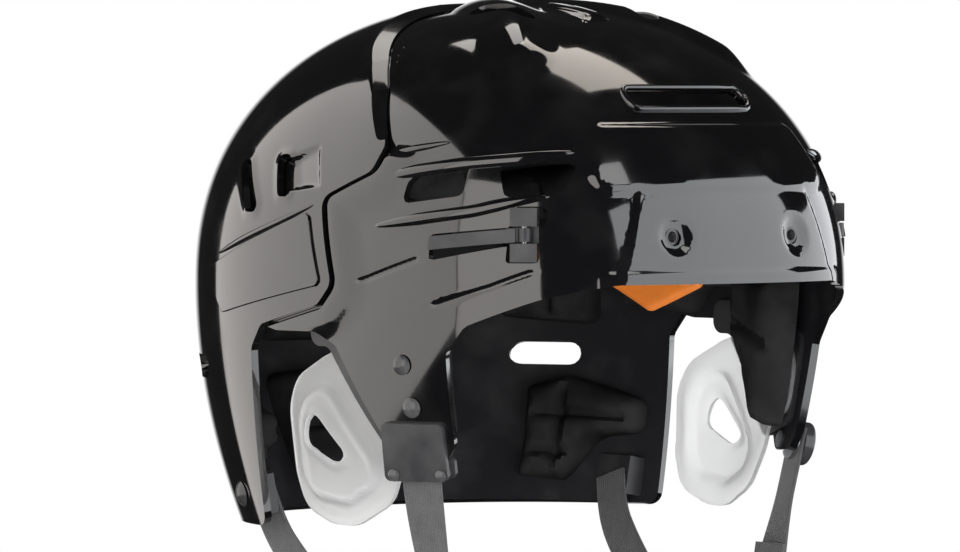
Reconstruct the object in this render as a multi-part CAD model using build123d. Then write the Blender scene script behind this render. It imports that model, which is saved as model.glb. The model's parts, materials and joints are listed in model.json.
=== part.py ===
from build123d import *

import os
from functools import cache
from math import atan2, cos, degrees, pi, radians, sin, tan

os.makedirs("parts", exist_ok=True)

# An ice hockey helmet: a front shell, a rear shell that slides outside it to change the
# head size, the lock levers and rails of that slide, foam pads, clear ear guards and the
# chin strap. Millimetres, +Z up, the front faces -Y and the wearer's right side is -X.
# The origin is the centre of the head opening, in the rim plane.

# Head form, which is the outer face of the front shell
crown_height = 201.0
widest_height = 95.0
half_width = 107.0
front_reach = 122.0
rear_reach = 134.0
side_tuck = 7.0
front_tuck = 6.0
rear_tuck = 34.0
skirt_depth = 14.0
side_dome_power = 2.3
front_dome_power = 2.1
rear_dome_power = 2.15
front_squareness = 2.5
front_softening = 0.9
rear_squareness = 2.3
section_points = 24
dome_angles = (0, 22, 42, 59, 72, 81, 86)
tuck_shares = (0.5, 1)

# Shell walls and the lap of the two shells
wall = 3.0
lap_gap = 0.6
outline_round = 5.0
size_travel = 12.0
relief_start = 7.0
relief_depth = 0.9
overrun = 40.0

# Raised and sunk forms of the shells
ridge_height = 2.6
ridge_half_width = 17.0
ridge_length = 86.0
ridge_centre_y = -36.0
band_height = 2.2
band_half_width = 60.0
band_low_share = 0.655
band_high_share = 0.775
band_top_share = 0.8
brow_height = 1.8
brow_depth = 13.0
panel_depth = 0.9
panel_round = 2.5

# Vents
vent_round = 2.4
front_vent_width = 60.0
front_vent_height = 8.0
front_vent_level = 166.0
crown_vent_length = 34.0
crown_vent_width = 7.0
crown_vent_out = 31.0
crown_vent_y = -22.0
back_vent_length = 26.0
back_vent_width = 9.0
back_vent_level = 63.0
back_vent_y = 88.0
nape_vent_width = 34.0
nape_vent_height = 8.0
nape_vent_level = 112.0

# Foam pads
pad_gap = 0.4
pad_depth = 14.0
pad_round = 7.0
pad_draw = 12
pad_reach = 45.0
rear_pad_reach = 85.0
crown_pad_reach = 60.0
crown_pad_length = 52.0
crown_pad_width = 44.0
crown_pad_y = -44.0
crown_pad_x = 31.0
rear_crown_pad_length = 50.0
rear_crown_pad_width = 62.0
rear_crown_pad_y = 92.0
forehead_pad_half_width = 54.0
forehead_pad_low_share = 0.5
forehead_pad_high_share = 0.74
forehead_channel_x = 15.0
middle_pad_half_width = 30.0
occipital_low_share = 0.03
occipital_high_share = 0.29
middle_low_share = 0.34
middle_high_share = 0.7
insert_round = 4.0
channel_width = 5.0
channel_depth = 4.0
insert_depth = 2.4
insert_gap = 0.3

# Size rails and the bosses that carry them
rail_level = 115.5
rail_height = 8.0
rail_thickness = 2.4
rail_front = -64.0
rail_rear = 32.0
rail_gap = 0.5
rail_groove_pitch = 3.2
rail_groove_depth = 0.6
rail_groove_width = 1.2
rail_grooves = 9
boss_front = 14.0
boss_length = 10.0
boss_height = 8.0
slot_gap = 0.6
screw_radius = 1.5
screw_head_radius = 3.0
screw_head_height = 1.6
screw_gap = 0.1

# Lock levers
lever_pivot_y = -91.0
lever_level = 116.0
lever_height = 5.0
lever_drop = 3.2
lever_thickness = 2.8
lever_length = 31.0
lever_gap = 0.7
tooth_length = 3.0
tooth_height = 3.6
tooth_gap = 0.4
pin_radius = 1.1
pin_gap = 0.06
eye_wall = 1.5
housing_width = 10.0
housing_height = 20.0
housing_back = 1.4
window_gap = 0.4
window_tail = 3.4

# Ear guards and their brackets
bracket_gap = 0.3
bracket_thickness = 2.0
guard_gap = 0.3
guard_thickness = 2.0
guard_bulge = 3.4
guard_round = 4.0
hole_lip = 1.6
lip_height = 1.2

# Side screws, through shell, bracket and guard
side_screw_radius = 2.0
side_screw_head_radius = 3.8
side_screw_head_height = 1.8
side_screw_gap = 0.2
side_screw_lift = 0.6
side_nut_radius = 4.5
side_nut_thickness = 2.2

# Visor holes, with a tee nut behind each
visor_spacing = 60.0
visor_level = 115.0
visor_bore_radius = 2.1
visor_barrel_radius = 3.2
visor_barrel_gap = 0.15
visor_flange_radius = 6.0
visor_flange_thickness = 1.6

# Chin strap webbing
webbing_width = 16.0
webbing_thickness = 1.6
strap_top_y = -47.0
strap_top_level = 26.0
strap_foot_level = -62.0
strap_foot_out = 76.0
strap_low_level = -108.0
strap_twist_level = -18.0
chin_round = 45.0
buckle_level = -42.0
clip_width = 26.0
clip_height = 22.0
clip_thickness = 2.2
clip_gap = 0.2
clip_overlap = 4.0
rivet_radius = 1.3
rivet_head_radius = 2.4
rivet_sink = 0.1
rivet_head_height = 1.1
loop_gap = 0.12
bar_radius = 1.5
buckle_height = 17.0
buckle_side_gap = 0.8
slider_height = 13.0
slider_wall = 1.7
slider_gap = 0.5

# Snap of the left front strap
snap_radius = 8.5
snap_cap_height = 4.4
snap_level = 33.0
stud_radius = 2.2
stud_height = 5.6
stud_base_radius = 7.0
stud_base_height = 1.5
stud_room = 1.6
stud_back_radius = 3.4
stud_back_thickness = 1.0
snap_gap = 0.25

# Rear straps
rear_anchor_y = 51.0
rear_anchor_level = 16.0
rear_anchor_width = 19.0
rear_foot_level = -57.0
rear_rivet_radius = 2.0
rear_rivet_head_radius = 5.0
rear_rivet_head_height = 2.2
rear_rivet_lift = 0.3
rear_rivet_depth = 7.0
strap_lap_gap = 0.3

# Outlines seen from the side, as shares of the reach in front of or behind the widest
# section and of the crown height
front_shell_shares = (
    (-1.3, 1.15), (0.46, 1.15), (0.373, 0.746), (0.313, 0.418), (0.134, 0.393),
    (-0.033, 0.393), (-0.115, 0.368), (-0.344, 0.142), (-0.467, 0.147), (-0.508, 0.189),
    (-0.525, 0.358), (-0.59, 0.408), (-0.787, 0.458), (-0.926, 0.485), (-1.3, 0.485),
)
rear_shell_shares = (
    (0.239, 1.144), (0.179, 1.01), (-0.033, 0.91), (-0.148, 0.851), (-0.279, 0.741),
    (-0.254, 0.692), (-0.057, 0.642), (-0.131, 0.483), (-0.066, 0.443), (0.201, 0.403),
    (0.254, 0.358), (0.254, 0.02), (1.25, 0.02), (1.25, 1.144),
)
panel_shares = ((-0.01, 0.617), (-0.085, 0.48), (0.415, 0.42), (0.535, 0.5))
vent_shares = (
    ((-0.369, 0.632), (-0.375, 0.672), (-0.41, 0.694), (-0.56, 0.71), (-0.566, 0.648)),
    ((-0.63, 0.715), (-0.8, 0.712), (-0.8, 0.652), (-0.68, 0.645)),
)
rear_vent_shares = (
    ((0.33, 0.71), (0.4, 0.712), (0.3, 0.612), (0.225, 0.612)),
    ((0.13, 0.722), (0.19, 0.72), (0.145, 0.642), (0.08, 0.642)),
)
guard_shares = (
    (-0.012, 0.345), (0.115, 0.305), (0.157, 0.25), (0.146, 0.123), (0.115, 0.06),
    (0, 0.032), (-0.1, 0.03), (-0.24, 0.075), (-0.3, 0.15), (-0.32, 0.215),
    (-0.44, 0.215), (-0.44, 0.36), (-0.08, 0.36),
)
cup_shares = (
    (-0.03, 0.3), (0.08, 0.27), (0.112, 0.23), (0.103, 0.13), (0.07, 0.085),
    (-0.08, 0.07), (-0.19, 0.105), (-0.215, 0.15),
)
ear_hole_shares = ((0.028, 0.258), (0.07, 0.185), (-0.06, 0.147), (-0.125, 0.163))
bracket_shares = (
    (0.03, 0.43), (-0.2, 0.43), (-0.45, 0.37), (-0.45, 0.2), (-0.33, 0.18),
    (-0.285, 0.163), (-0.05, 0.365), (0.03, 0.365),
)
temple_pad_shares = (
    (-0.47, 0.17), (-0.36, 0.165), (-0.15, 0.37), (-0.15, 0.5), (-0.49, 0.5), (-0.49, 0.2),
)
lower_side_pad_shares = (
    (-0.12, 0.45), (0.05, 0.45), (0.08, 0.395), (0.38, 0.4), (0.38, 0.53), (-0.12, 0.53),
)
upper_side_pad_shares = ((-0.62, 0.63), (0.34, 0.63), (0.42, 0.79), (-0.45, 0.79))
insert_shares = ((-0.035, 0.515), (0.35, 0.515), (0.35, 0.46), (0.19, 0.405), (-0.035, 0.46))
rear_lower_pad_shares = (
    (0.5, 0.035), (0.7, 0.03), (0.72, 0.27), (0.56, 0.29), (0.3, 0.23), (0.3, 0.15),
    (0.44, 0.135),
)
rear_upper_pad_shares = ((0.47, 0.36), (0.82, 0.35), (0.8, 0.72), (0.49, 0.72))
side_screw_shares = ((-0.378, 0.336), (-0.396, 0.257))
rear_channel_shares = (0.11, 0.19)
rear_strap_shares = ((0, 0), (0.1, 0.3), (0.45, 0.72), (0.92, 1))


def reaches(height, offset=0):
    """Half width, front reach, rear reach and front squareness of the form at one height."""
    top = crown_height + offset
    rise = min(max(height - widest_height, 0) / (top - widest_height), 1)
    fall = max(widest_height - height, 0) / widest_height
    side = (half_width + offset) * (1 - rise**side_dome_power) ** (1 / side_dome_power)
    front = (front_reach + offset) * (1 - rise**front_dome_power) ** (1 / front_dome_power)
    rear = (rear_reach + offset) * (1 - rise**rear_dome_power) ** (1 / rear_dome_power)
    return (
        side - side_tuck * fall**2,
        front - front_tuck * fall**2,
        rear - rear_tuck * fall**2,
        front_squareness - front_softening * fall,
    )


def section_wire(height, offset):
    """The closed plan curve of the head form at one height."""
    side, front, rear, squareness = reaches(height, offset)
    points = []
    for step in range(section_points):
        angle = 2 * pi * step / section_points
        across, along = cos(angle), sin(angle)
        reach, power = (front, squareness) if along < 0 else (rear, rear_squareness)
        radius = (abs(across / side) ** power + abs(along / reach) ** power) ** (-1 / power)
        points.append(Vector(radius * across, radius * along, height))
    return Wire([Edge.make_spline(points, periodic=True)])


@cache
def head_form(offset):
    """The head form grown by an offset, as one lofted solid."""
    heights = [offset - skirt_depth]
    heights += [widest_height * (1 - share) for share in reversed(tuck_shares)]
    rise = crown_height + offset - widest_height
    heights += [widest_height + rise * sin(radians(angle)) for angle in dome_angles]
    return Solid.make_loft([section_wire(height, offset) for height in heights])


@cache
def band(outer, inner):
    """The layer of the head form between two offsets."""
    return head_form(outer) - head_form(inner)


def side_point(y_share, z_share):
    """A point of the side view, from its shares."""
    reach = front_reach if y_share < 0 else rear_reach
    return y_share * reach, z_share * crown_height


def rounded_face(points, radius):
    """A closed face with rounded corners."""
    return make_face(FilletPolyline(*points, radius=radius, close=True))


def side_face(shares, radius):
    """A rounded face in the side view's plane."""
    return Plane.YZ * rounded_face([side_point(*share) for share in shares], radius)


def through_prism(shares, radius=outline_round):
    """A prism right across the helmet, from an outline seen from the side."""
    return extrude(side_face(shares, radius), amount=half_width + overrun, both=True)


def right_prism(shares, radius=outline_round, draw=0, reach=half_width):
    """A prism through the right side only, drawn in towards the head."""
    points = [side_point(*share) for share in shares]
    return extrude(right_plane() * rounded_face(points, radius), amount=reach, taper=draw)


def right_plane():
    """The plane outside the right wall that looks inward, with local x backward."""
    return Plane((-half_width - lap_gap - wall, 0, 0), x_dir=(0, 1, 0), z_dir=(1, 0, 0))


def both_sides(part):
    """A right-hand part and its mirror image, as one compound."""
    return Compound(children=[part, mirror(part, about=Plane.YZ)])


def skin_x(y, height, offset=0):
    """Distance of the form's side from the middle plane."""
    side, front, rear, squareness = reaches(height, offset)
    reach, power = (front, squareness) if y < 0 else (rear, rear_squareness)
    return side * (1 - (abs(y) / reach) ** power) ** (1 / power)


def skin_place(y, height):
    """A point on the form's right side."""
    return Vector(-skin_x(y, height), y, height)


def skin_plane(y, height, offset=0):
    """A plane on the right side: local x runs forward, local y up and local z outward."""
    here = skin_place(y, height)
    forward = skin_place(y - wall / 2, height) - skin_place(y + wall / 2, height)
    upward = skin_place(y, height + wall / 2) - skin_place(y, height - wall / 2)
    outward = forward.cross(upward).normalized()
    return Plane(here + outward * offset, x_dir=forward, z_dir=outward)


def upright_plane(y, height, offset=0):
    """The same plane with its outward normal kept level."""
    here = skin_place(y, height)
    forward = skin_place(y - wall / 2, height) - skin_place(y + wall / 2, height)
    outward = forward.cross(Vector(0, 0, 1)).normalized()
    return Plane(here + outward * offset, x_dir=forward, z_dir=outward)


def rod(plane, radius, low, high):
    """A cylinder along a plane's normal, between two heights over the plane."""
    return plane * Location((0, 0, low)) * Cylinder(
        radius, high - low, align=(Align.CENTER, Align.CENTER, Align.MIN)
    )


def block(plane, width, height, low, high):
    """A block centred on a plane, between two heights over it."""
    return plane * Location((0, 0, low)) * Box(
        width, height, high - low, align=(Align.CENTER, Align.CENTER, Align.MIN)
    )


def ribbon(stations):
    """Webbing lofted through places, each with its direction and its width direction."""
    faces = []
    for place, along, across in stations:
        plane = Plane(place, x_dir=across, z_dir=along)
        faces.append(plane * Rectangle(webbing_width, webbing_thickness))
    return loft(faces)


def dome_rivet(plane, radius, head_radius, head_height, depth):
    """A rivet with a low domed head on the plane and a shank below it."""
    ball = (head_radius**2 + head_height**2) / (2 * head_height)
    head = Sphere(ball).moved(Location((0, 0, head_height - ball)))
    room = Cylinder(
        head_radius, head_height, align=(Align.CENTER, Align.CENTER, Align.MIN)
    )
    shank = Cylinder(radius, depth, align=(Align.CENTER, Align.CENTER, Align.MAX))
    return plane * ((head & room) + shank)


# Places that follow from the sizes
rear_inner = lap_gap
rear_outer = lap_gap + wall
rail_face = skin_x(rail_front, rail_level + rail_height / 2, -wall) - rail_gap
rail_back = rail_face - rail_thickness
bracket_inner = -wall - bracket_gap - bracket_thickness
guard_outer = bracket_inner - guard_gap
guard_inner = guard_outer - guard_thickness
strap_lean = (skin_x(strap_top_y, strap_top_level) - strap_foot_out) / (
    strap_top_level - strap_foot_level
)
lever_plane = upright_plane(lever_pivot_y, lever_level, -lever_thickness / 2)
forward = Vector(0, -1, 0)
side_upward = Vector(-strap_lean, 0, 1).normalized()
side_outward = forward.cross(side_upward)
strap_loop_radius = bar_radius + loop_gap + webbing_thickness
strap_sink = -clip_gap - webbing_thickness / 2
strap_snap_offset = snap_gap * 3 + stud_base_height + webbing_thickness / 2
edge_level = front_shell_shares[7][1] * crown_height
rivet_level = edge_level - rivet_radius - 2 * clip_gap
rivet_out = webbing_width / 2 + rivet_radius + 2 * clip_gap


def lever_outline(grow, drop):
    """The side outline of a lever, or of its window when grown."""
    rear = lever_pivot_y + lever_length + grow
    front = lever_pivot_y
    top, low = lever_level + lever_height / 2 + grow, lever_level - lever_height / 2 - grow
    return [(front, top), (rear, top - drop), (rear, low - drop), (front, low)]


def lever_prism(grow, tail=0):
    """A prism through the right side for a lever or its window."""
    points = lever_outline(grow, lever_drop)
    points[2] = (points[2][0], points[2][1] - tail)
    plane = Plane((-half_width - rear_outer, 0, 0), x_dir=(0, 1, 0), z_dir=(1, 0, 0))
    return extrude(plane * make_face(Polyline(*points, close=True)), amount=half_width)


def housing_block(grow):
    """The block that a lever housing is cut from, or its window in the shell when grown."""
    return block(
        lever_plane, housing_width + 2 * grow, housing_height + 2 * grow,
        -housing_width, housing_width,
    )


def make_front_shell():
    """The front shell with its ridge, brow, band, vents and slide slots."""
    trim = through_prism(front_shell_shares)
    raised = [
        band(ridge_height, -wall / 2) & crown_ridge_prism(),
        band(band_height, -wall / 2) & forehead_band_prism(),
        band(brow_height, -wall / 2) & brow_box() & trim,
    ]
    shell = (band(0, -wall) & trim) + raised
    cuts = [through_prism(shares, vent_round) for shares in vent_shares]
    vent = RectangleRounded(front_vent_width, front_vent_height, front_vent_height * 0.45)
    vent = Plane.XZ * Location((0, front_vent_level)) * vent
    cuts.append(extrude(vent, amount=front_reach + overrun))
    crown_vent = SlotOverall(crown_vent_length, crown_vent_width, rotation=90)
    crown_vent = Location((-crown_vent_out, crown_vent_y)) * crown_vent
    right_cuts = [extrude(crown_vent, amount=crown_height + overrun)]
    rail_slot = Box(
        overrun, boss_length + size_travel + 2 * slot_gap, boss_height + 2 * slot_gap,
        align=(Align.CENTER, Align.MIN, Align.CENTER),
    )
    place = Location((-half_width, boss_front - slot_gap, rail_level))
    right_cuts.append(rail_slot.moved(place))
    right_cuts.append(lever_prism(lever_gap, window_tail))
    right_cuts.append(housing_block(window_gap))
    for shares in side_screw_shares:
        plane = skin_plane(*side_point(*shares))
        hole_radius = side_screw_radius + side_screw_gap
        right_cuts.append(rod(plane, hole_radius, -overrun / 2, overrun / 2))
    for cut in right_cuts:
        cuts += [cut, mirror(cut, about=Plane.YZ)]
    for across in (-1, 1):
        cuts.append(visor_rod(across, visor_barrel_radius + visor_barrel_gap))
    stud = rod(
        skin_plane(strap_top_y, snap_level), stud_radius + screw_gap, -overrun / 2,
        overrun / 2,
    )
    return shell - cuts - mirror(stud, about=Plane.YZ)


def crown_ridge_prism():
    """A prism over the raised ridge along the crown."""
    outline = SlotOverall(ridge_length, 2 * ridge_half_width, rotation=90)
    outline = Location((0, ridge_centre_y)) * outline
    return extrude(outline, amount=crown_height + overrun)


def forehead_band_prism():
    """A prism in front of the raised band over the forehead."""
    low, high = band_low_share * crown_height, band_high_share * crown_height
    top_half_width = band_half_width * band_top_share
    corners = [
        (-band_half_width, low), (band_half_width, low),
        (top_half_width, high), (-top_half_width, high),
    ]
    outline = Plane.XZ * rounded_face(corners, outline_round)
    return extrude(outline, amount=front_reach + overrun)


def brow_box():
    """A block round the lower edge of the forehead."""
    low = front_shell_shares[-1][1] * crown_height
    block_size = (2 * band_half_width, front_reach + overrun, brow_depth)
    brow = Box(*block_size, align=(Align.CENTER, Align.MAX, Align.MIN))
    return brow.moved(Location((0, 0, low)))


def visor_rod(across, radius):
    """A cylinder through one visor hole."""
    return rod(visor_plane(across), radius, 0, front_reach + overrun)


def visor_plane(across):
    """The cross plane at one visor hole, facing forward."""
    return Plane(
        (across * visor_spacing / 2, 0, visor_level), x_dir=(1, 0, 0), z_dir=(0, -1, 0)
    )


def make_rear_shell():
    """The rear shell, with its side panels, vents and rail bosses."""
    shell = band(rear_outer, rear_inner) & through_prism(rear_shell_shares)
    boss = Box(
        overrun, boss_length, boss_height, align=(Align.MAX, Align.MIN, Align.CENTER)
    )
    boss = boss.moved(Location((-rail_face, boss_front, rail_level)))
    boss = boss & head_form((rear_inner + rear_outer) / 2)
    boss -= rod(boss_plane(), screw_radius + screw_gap, -overrun, boss_length * 0.7)
    panel = through_prism(panel_shares, panel_round)
    relief = Box(
        2 * (half_width + overrun), front_reach, 2 * crown_height,
        align=(Align.CENTER, Align.MAX, Align.MIN),
    )
    relief = relief.moved(Location((0, -relief_start, 0)))
    cuts = [
        head_form(rear_inner + relief_depth) & relief,
        band(rear_outer + wall, rear_outer - panel_depth) & panel,
    ]
    cuts += [through_prism(shares, vent_round) for shares in rear_vent_shares]
    back_vent = SlotOverall(back_vent_length, back_vent_width)
    back_vent = Plane.YZ * Location((back_vent_y, back_vent_level)) * back_vent
    cuts.append(extrude(back_vent, amount=half_width + overrun, both=True))
    nape_vent = SlotOverall(nape_vent_width, nape_vent_height)
    nape_vent = Plane.XZ * Location((0, nape_vent_level)) * nape_vent
    cuts.append(extrude(nape_vent, amount=-rear_reach - overrun))
    rivet_hole = rod(rear_rivet_plane(), rear_rivet_radius + screw_gap, -overrun, overrun)
    cuts += [rivet_hole, mirror(rivet_hole, about=Plane.YZ)]
    return shell - cuts + [boss, mirror(boss, about=Plane.YZ)]


def rear_rivet_plane():
    """The seat of the right rear strap rivet on the rear shell."""
    return skin_plane(rear_anchor_y, rear_anchor_level, rear_outer)


def boss_plane():
    """The inner end of the right boss, facing outward."""
    return Plane(
        (-rail_face, boss_front + boss_length / 2, rail_level),
        x_dir=(0, -1, 0), z_dir=(-1, 0, 0),
    )


def make_rail():
    """The right size rail: a straight bar with grip grooves under the lever."""
    size_y = rail_rear - rail_front
    bar = Box(
        rail_thickness, size_y, rail_height, align=(Align.MIN, Align.MIN, Align.CENTER)
    )
    bar = bar.moved(Location((-rail_face, rail_front, rail_level)))
    for number in range(rail_grooves):
        groove = Box(rail_groove_depth * 2, rail_groove_width, rail_height * 2)
        place = rail_front + rail_groove_pitch * (number + 1)
        bar -= groove.moved(Location((-rail_face, place, rail_level)))
    return bar - rod(boss_plane(), screw_radius + screw_gap, -overrun, overrun)


def make_rail_screw():
    """The screw that holds the right rail to its boss, driven from inside."""
    back = rail_face - rail_back
    head = rod(boss_plane(), screw_head_radius, -back - screw_head_height, -back)
    shank = rod(boss_plane(), screw_radius, -back, boss_length * 0.6)
    return head + shank


def make_lever():
    """The right lock lever: a finger bar that follows the shell, with an eye."""
    bar = band(lever_thickness / 2, -lever_thickness / 2) & lever_prism(0)
    reach = pin_radius + pin_gap + eye_wall
    keep = lever_plane * Location((-reach - lever_gap / 2, 0, 0)) * Box(
        overrun, overrun, overrun, align=(Align.MAX, Align.CENTER, Align.CENTER)
    )
    pin = pin_plane()
    bar = bar & keep
    neck = lever_plane * Box(
        reach * 2 + lever_gap * 2, lever_height, lever_thickness,
        align=(Align.MAX, Align.CENTER, Align.CENTER),
    )
    eye = rod(pin, reach, -lever_height / 2, lever_height / 2)
    tooth_y = lever_pivot_y + lever_length - tooth_length / 2 - lever_gap
    skin = skin_x(tooth_y, lever_level - lever_drop)
    tooth = Box(
        skin - rail_face - tooth_gap, tooth_length, tooth_height,
        align=(Align.MAX, Align.CENTER, Align.CENTER),
    )
    level = lever_level - lever_drop + lever_drop * tooth_length / lever_length
    tooth = tooth.moved(Location((-rail_face - tooth_gap, tooth_y, level)))
    solid = bar + neck + eye + tooth
    return solid - rod(pin, pin_radius + pin_gap, -overrun, overrun)


def pin_plane():
    """A level plane on the right lever's pin axis."""
    return Plane(lever_plane.origin, x_dir=(1, 0, 0), z_dir=(0, 0, 1))


def make_housing():
    """The right lever housing: a back plate with an ear above and below the lever."""
    reach = pin_radius + pin_gap + eye_wall
    back = -reach - window_gap
    body = block(
        lever_plane, housing_width, housing_height, back - housing_back, reach
    )
    mouth = lever_height / 2 + lever_gap
    body -= lever_plane * Location((0, 0, back)) * Box(
        housing_width * 2, 2 * mouth, overrun, align=(Align.CENTER, Align.CENTER, Align.MIN)
    )
    return body - rod(pin_plane(), pin_radius + pin_gap, -overrun, overrun)


def make_lever_pin():
    """The pin of the right lever."""
    length = housing_height / 2 - window_gap
    return rod(pin_plane(), pin_radius, -length, length)


def make_bracket():
    """The black bracket that joins the right ear guard to the shell."""
    plate = band(-wall - bracket_gap, bracket_inner) & right_prism(bracket_shares)
    for shares in side_screw_shares:
        plane = skin_plane(*side_point(*shares))
        plate -= rod(plane, side_screw_radius + side_screw_gap, -overrun / 2, overrun / 2)
    return plate


def make_guard():
    """The clear right ear guard: a flange, a pressed cup and a lipped ear hole."""
    guard = band(guard_outer, guard_inner) & right_prism(guard_shares, guard_round)
    crown = guard_outer + guard_bulge
    cup = rounded_face([side_point(*share) for share in cup_shares], guard_round)
    hole = rounded_face([side_point(*share) for share in ear_hole_shares], guard_round)
    plane = right_plane()
    cup_prism = extrude(plane * cup, amount=half_width)
    hollow = extrude(plane * offset(cup, amount=-guard_thickness), amount=half_width)
    lip = extrude(plane * offset(hole, amount=hole_lip), amount=half_width)
    guard += band(crown, guard_inner) & cup_prism
    guard += band(crown + lip_height, crown - guard_thickness) & lip
    cuts = [
        band(crown - guard_thickness, guard_inner - wall) & hollow,
        extrude(plane * hole, amount=half_width),
    ]
    for shares in side_screw_shares:
        seat = skin_plane(*side_point(*shares))
        cuts.append(rod(seat, side_screw_radius + side_screw_gap, -overrun / 2, overrun / 2))
    return guard - cuts


def make_side_screws():
    """The two screws of the right side."""
    screws = []
    depth = side_screw_lift - guard_inner + side_nut_thickness
    for shares in side_screw_shares:
        plane = skin_plane(*side_point(*shares), side_screw_lift)
        screws.append(
            dome_rivet(
                plane, side_screw_radius, side_screw_head_radius, side_screw_head_height,
                depth,
            )
        )
    return screws


def make_side_nuts():
    """The two nuts of the right side, inside the guard."""
    nuts = []
    for shares in side_screw_shares:
        plane = skin_plane(*side_point(*shares), guard_inner - side_screw_gap)
        nut = rod(plane, side_nut_radius, -side_nut_thickness, 0)
        nuts.append(nut - rod(plane, side_screw_radius + screw_gap, -overrun, overrun))
    return nuts


def make_tee_nut():
    """The tee nut behind the right visor hole, its barrel in the shell."""
    outer_y = plan_front(visor_spacing / 2, visor_level)
    plane = visor_plane(-1)
    seat = nut_seat()
    flange = rod(plane, visor_flange_radius, seat - visor_flange_thickness, seat)
    barrel = rod(plane, visor_barrel_radius, seat, outer_y - wall / 2)
    return flange + barrel - rod(plane, visor_bore_radius, 0, front_reach)


def nut_seat():
    """Where the tee nuts end against the shell, in front of the cross plane."""
    level = visor_level + visor_flange_radius
    inner_y = plan_front(visor_spacing / 2 + visor_flange_radius, level, -wall)
    return inner_y - visor_barrel_gap


def plan_front(x, height, offset=0):
    """Distance of the form's front from the cross plane, at one place across."""
    side, front, _, squareness = reaches(height, offset)
    return front * (1 - (abs(x) / side) ** squareness) ** (1 / squareness)


def side_pad(shares, reach, radius=pad_round, outer=-wall - pad_gap):
    """A foam pad inside the right wall, drawn in towards the head."""
    prism = right_prism(shares, radius, pad_draw, reach)
    return band(outer, outer - pad_depth) & prism


def channel_cut(outer, slots):
    """The layer that channels are cut to, inside a pad, held to the given slots."""
    return slots & head_form(outer - pad_depth + channel_depth)


def make_forehead_pad():
    """The foam pad behind the forehead, with two upright channels."""
    low, high = forehead_pad_low_share * crown_height, forehead_pad_high_share * crown_height
    corners = [
        (-forehead_pad_half_width, low), (forehead_pad_half_width, low),
        (forehead_pad_half_width * band_top_share, high),
        (-forehead_pad_half_width * band_top_share, high),
    ]
    plane = Plane((0, -front_reach - wall, 0), x_dir=(-1, 0, 0), z_dir=(0, 1, 0))
    prism = extrude(
        plane * rounded_face(corners, pad_round), amount=front_reach / 2, taper=pad_draw
    )
    outer = -wall - pad_gap
    pad = band(outer, outer - pad_depth) & prism
    cuts = []
    nut_room = 2 * pad_gap
    for across in (-1, 1):
        slot = Box(channel_width, 2 * front_reach, crown_height)
        slot = slot.moved(Location((across * forehead_channel_x, 0, visor_level)))
        cuts.append(channel_cut(outer, slot))
        cuts.append(visor_pocket(across, visor_flange_radius + nut_room))
    return pad - cuts


def visor_pocket(across, radius):
    """Room in the forehead pad for one tee nut."""
    depth = nut_seat() - visor_flange_thickness - 2 * pad_gap
    return rod(visor_plane(across), radius, depth, front_reach + overrun)


def top_pad(centre_y, length, width, outer, across=0):
    """A rounded foam pad under the crown, drawn in towards the head."""
    outline = RectangleRounded(width, length, pad_round)
    plane = Plane((across, centre_y, crown_height + wall), x_dir=(1, 0, 0), z_dir=(0, 0, -1))
    prism = extrude(plane * outline, amount=crown_pad_reach, taper=pad_draw)
    return band(outer, outer - pad_depth) & prism


def middle_pad(low_share, high_share, half, outer):
    """A foam pad in the middle of the rear wall, with one level channel."""
    low, high = low_share * crown_height, high_share * crown_height
    corners = [(-half, low), (half, low), (half, high), (-half, high)]
    plane = Plane((0, rear_reach + wall, 0), x_dir=(1, 0, 0), z_dir=(0, -1, 0))
    prism = extrude(
        plane * rounded_face(corners, pad_round), amount=rear_reach / 2, taper=pad_draw
    )
    slot = Box(4 * half, 4 * rear_reach, channel_width)
    slot = slot.moved(Location((0, 0, (low + high) / 2)))
    return (band(outer, outer - pad_depth) & prism) - channel_cut(outer, slot)


def make_temple_pad():
    """The right temple pad, with pockets for the side nuts."""
    outer = guard_inner - pad_gap
    pad = side_pad(temple_pad_shares, pad_reach, pad_round, outer)
    for shares in side_screw_shares:
        plane = skin_plane(*side_point(*shares), outer)
        depth = side_screw_gap + side_nut_thickness * 2
        pad -= rod(plane, side_nut_radius + pad_gap, -depth, overrun)
    return pad


def make_insert():
    """The orange insert on the inner face of the right side pad."""
    outer = -wall - pad_gap - pad_depth - insert_gap
    prism = right_prism(insert_shares, insert_round, 0, pad_reach)
    return band(outer, outer - insert_depth) & prism


def make_rear_lower_pad():
    """The right lower rear pad, with two level channels."""
    outer = rear_inner - pad_gap
    pad = side_pad(rear_lower_pad_shares, rear_pad_reach, pad_round, outer)
    cuts = []
    for share in rear_channel_shares:
        slot = Box(4 * half_width, 4 * rear_reach, channel_width)
        cuts.append(slot.moved(Location((0, 0, share * crown_height))))
    return pad - [channel_cut(outer, cut) for cut in cuts]


def side_place(height, inward=0):
    """A point on the right strap's plane, moved inward from it."""
    out = strap_foot_out + strap_lean * (height - strap_foot_level)
    return Vector(-out, strap_top_y, height) - side_outward * inward


def strap_plane(height):
    """A plane on the right strap: local x forward, local y up the strap."""
    return Plane(side_place(height), x_dir=forward, z_dir=side_outward)


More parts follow.
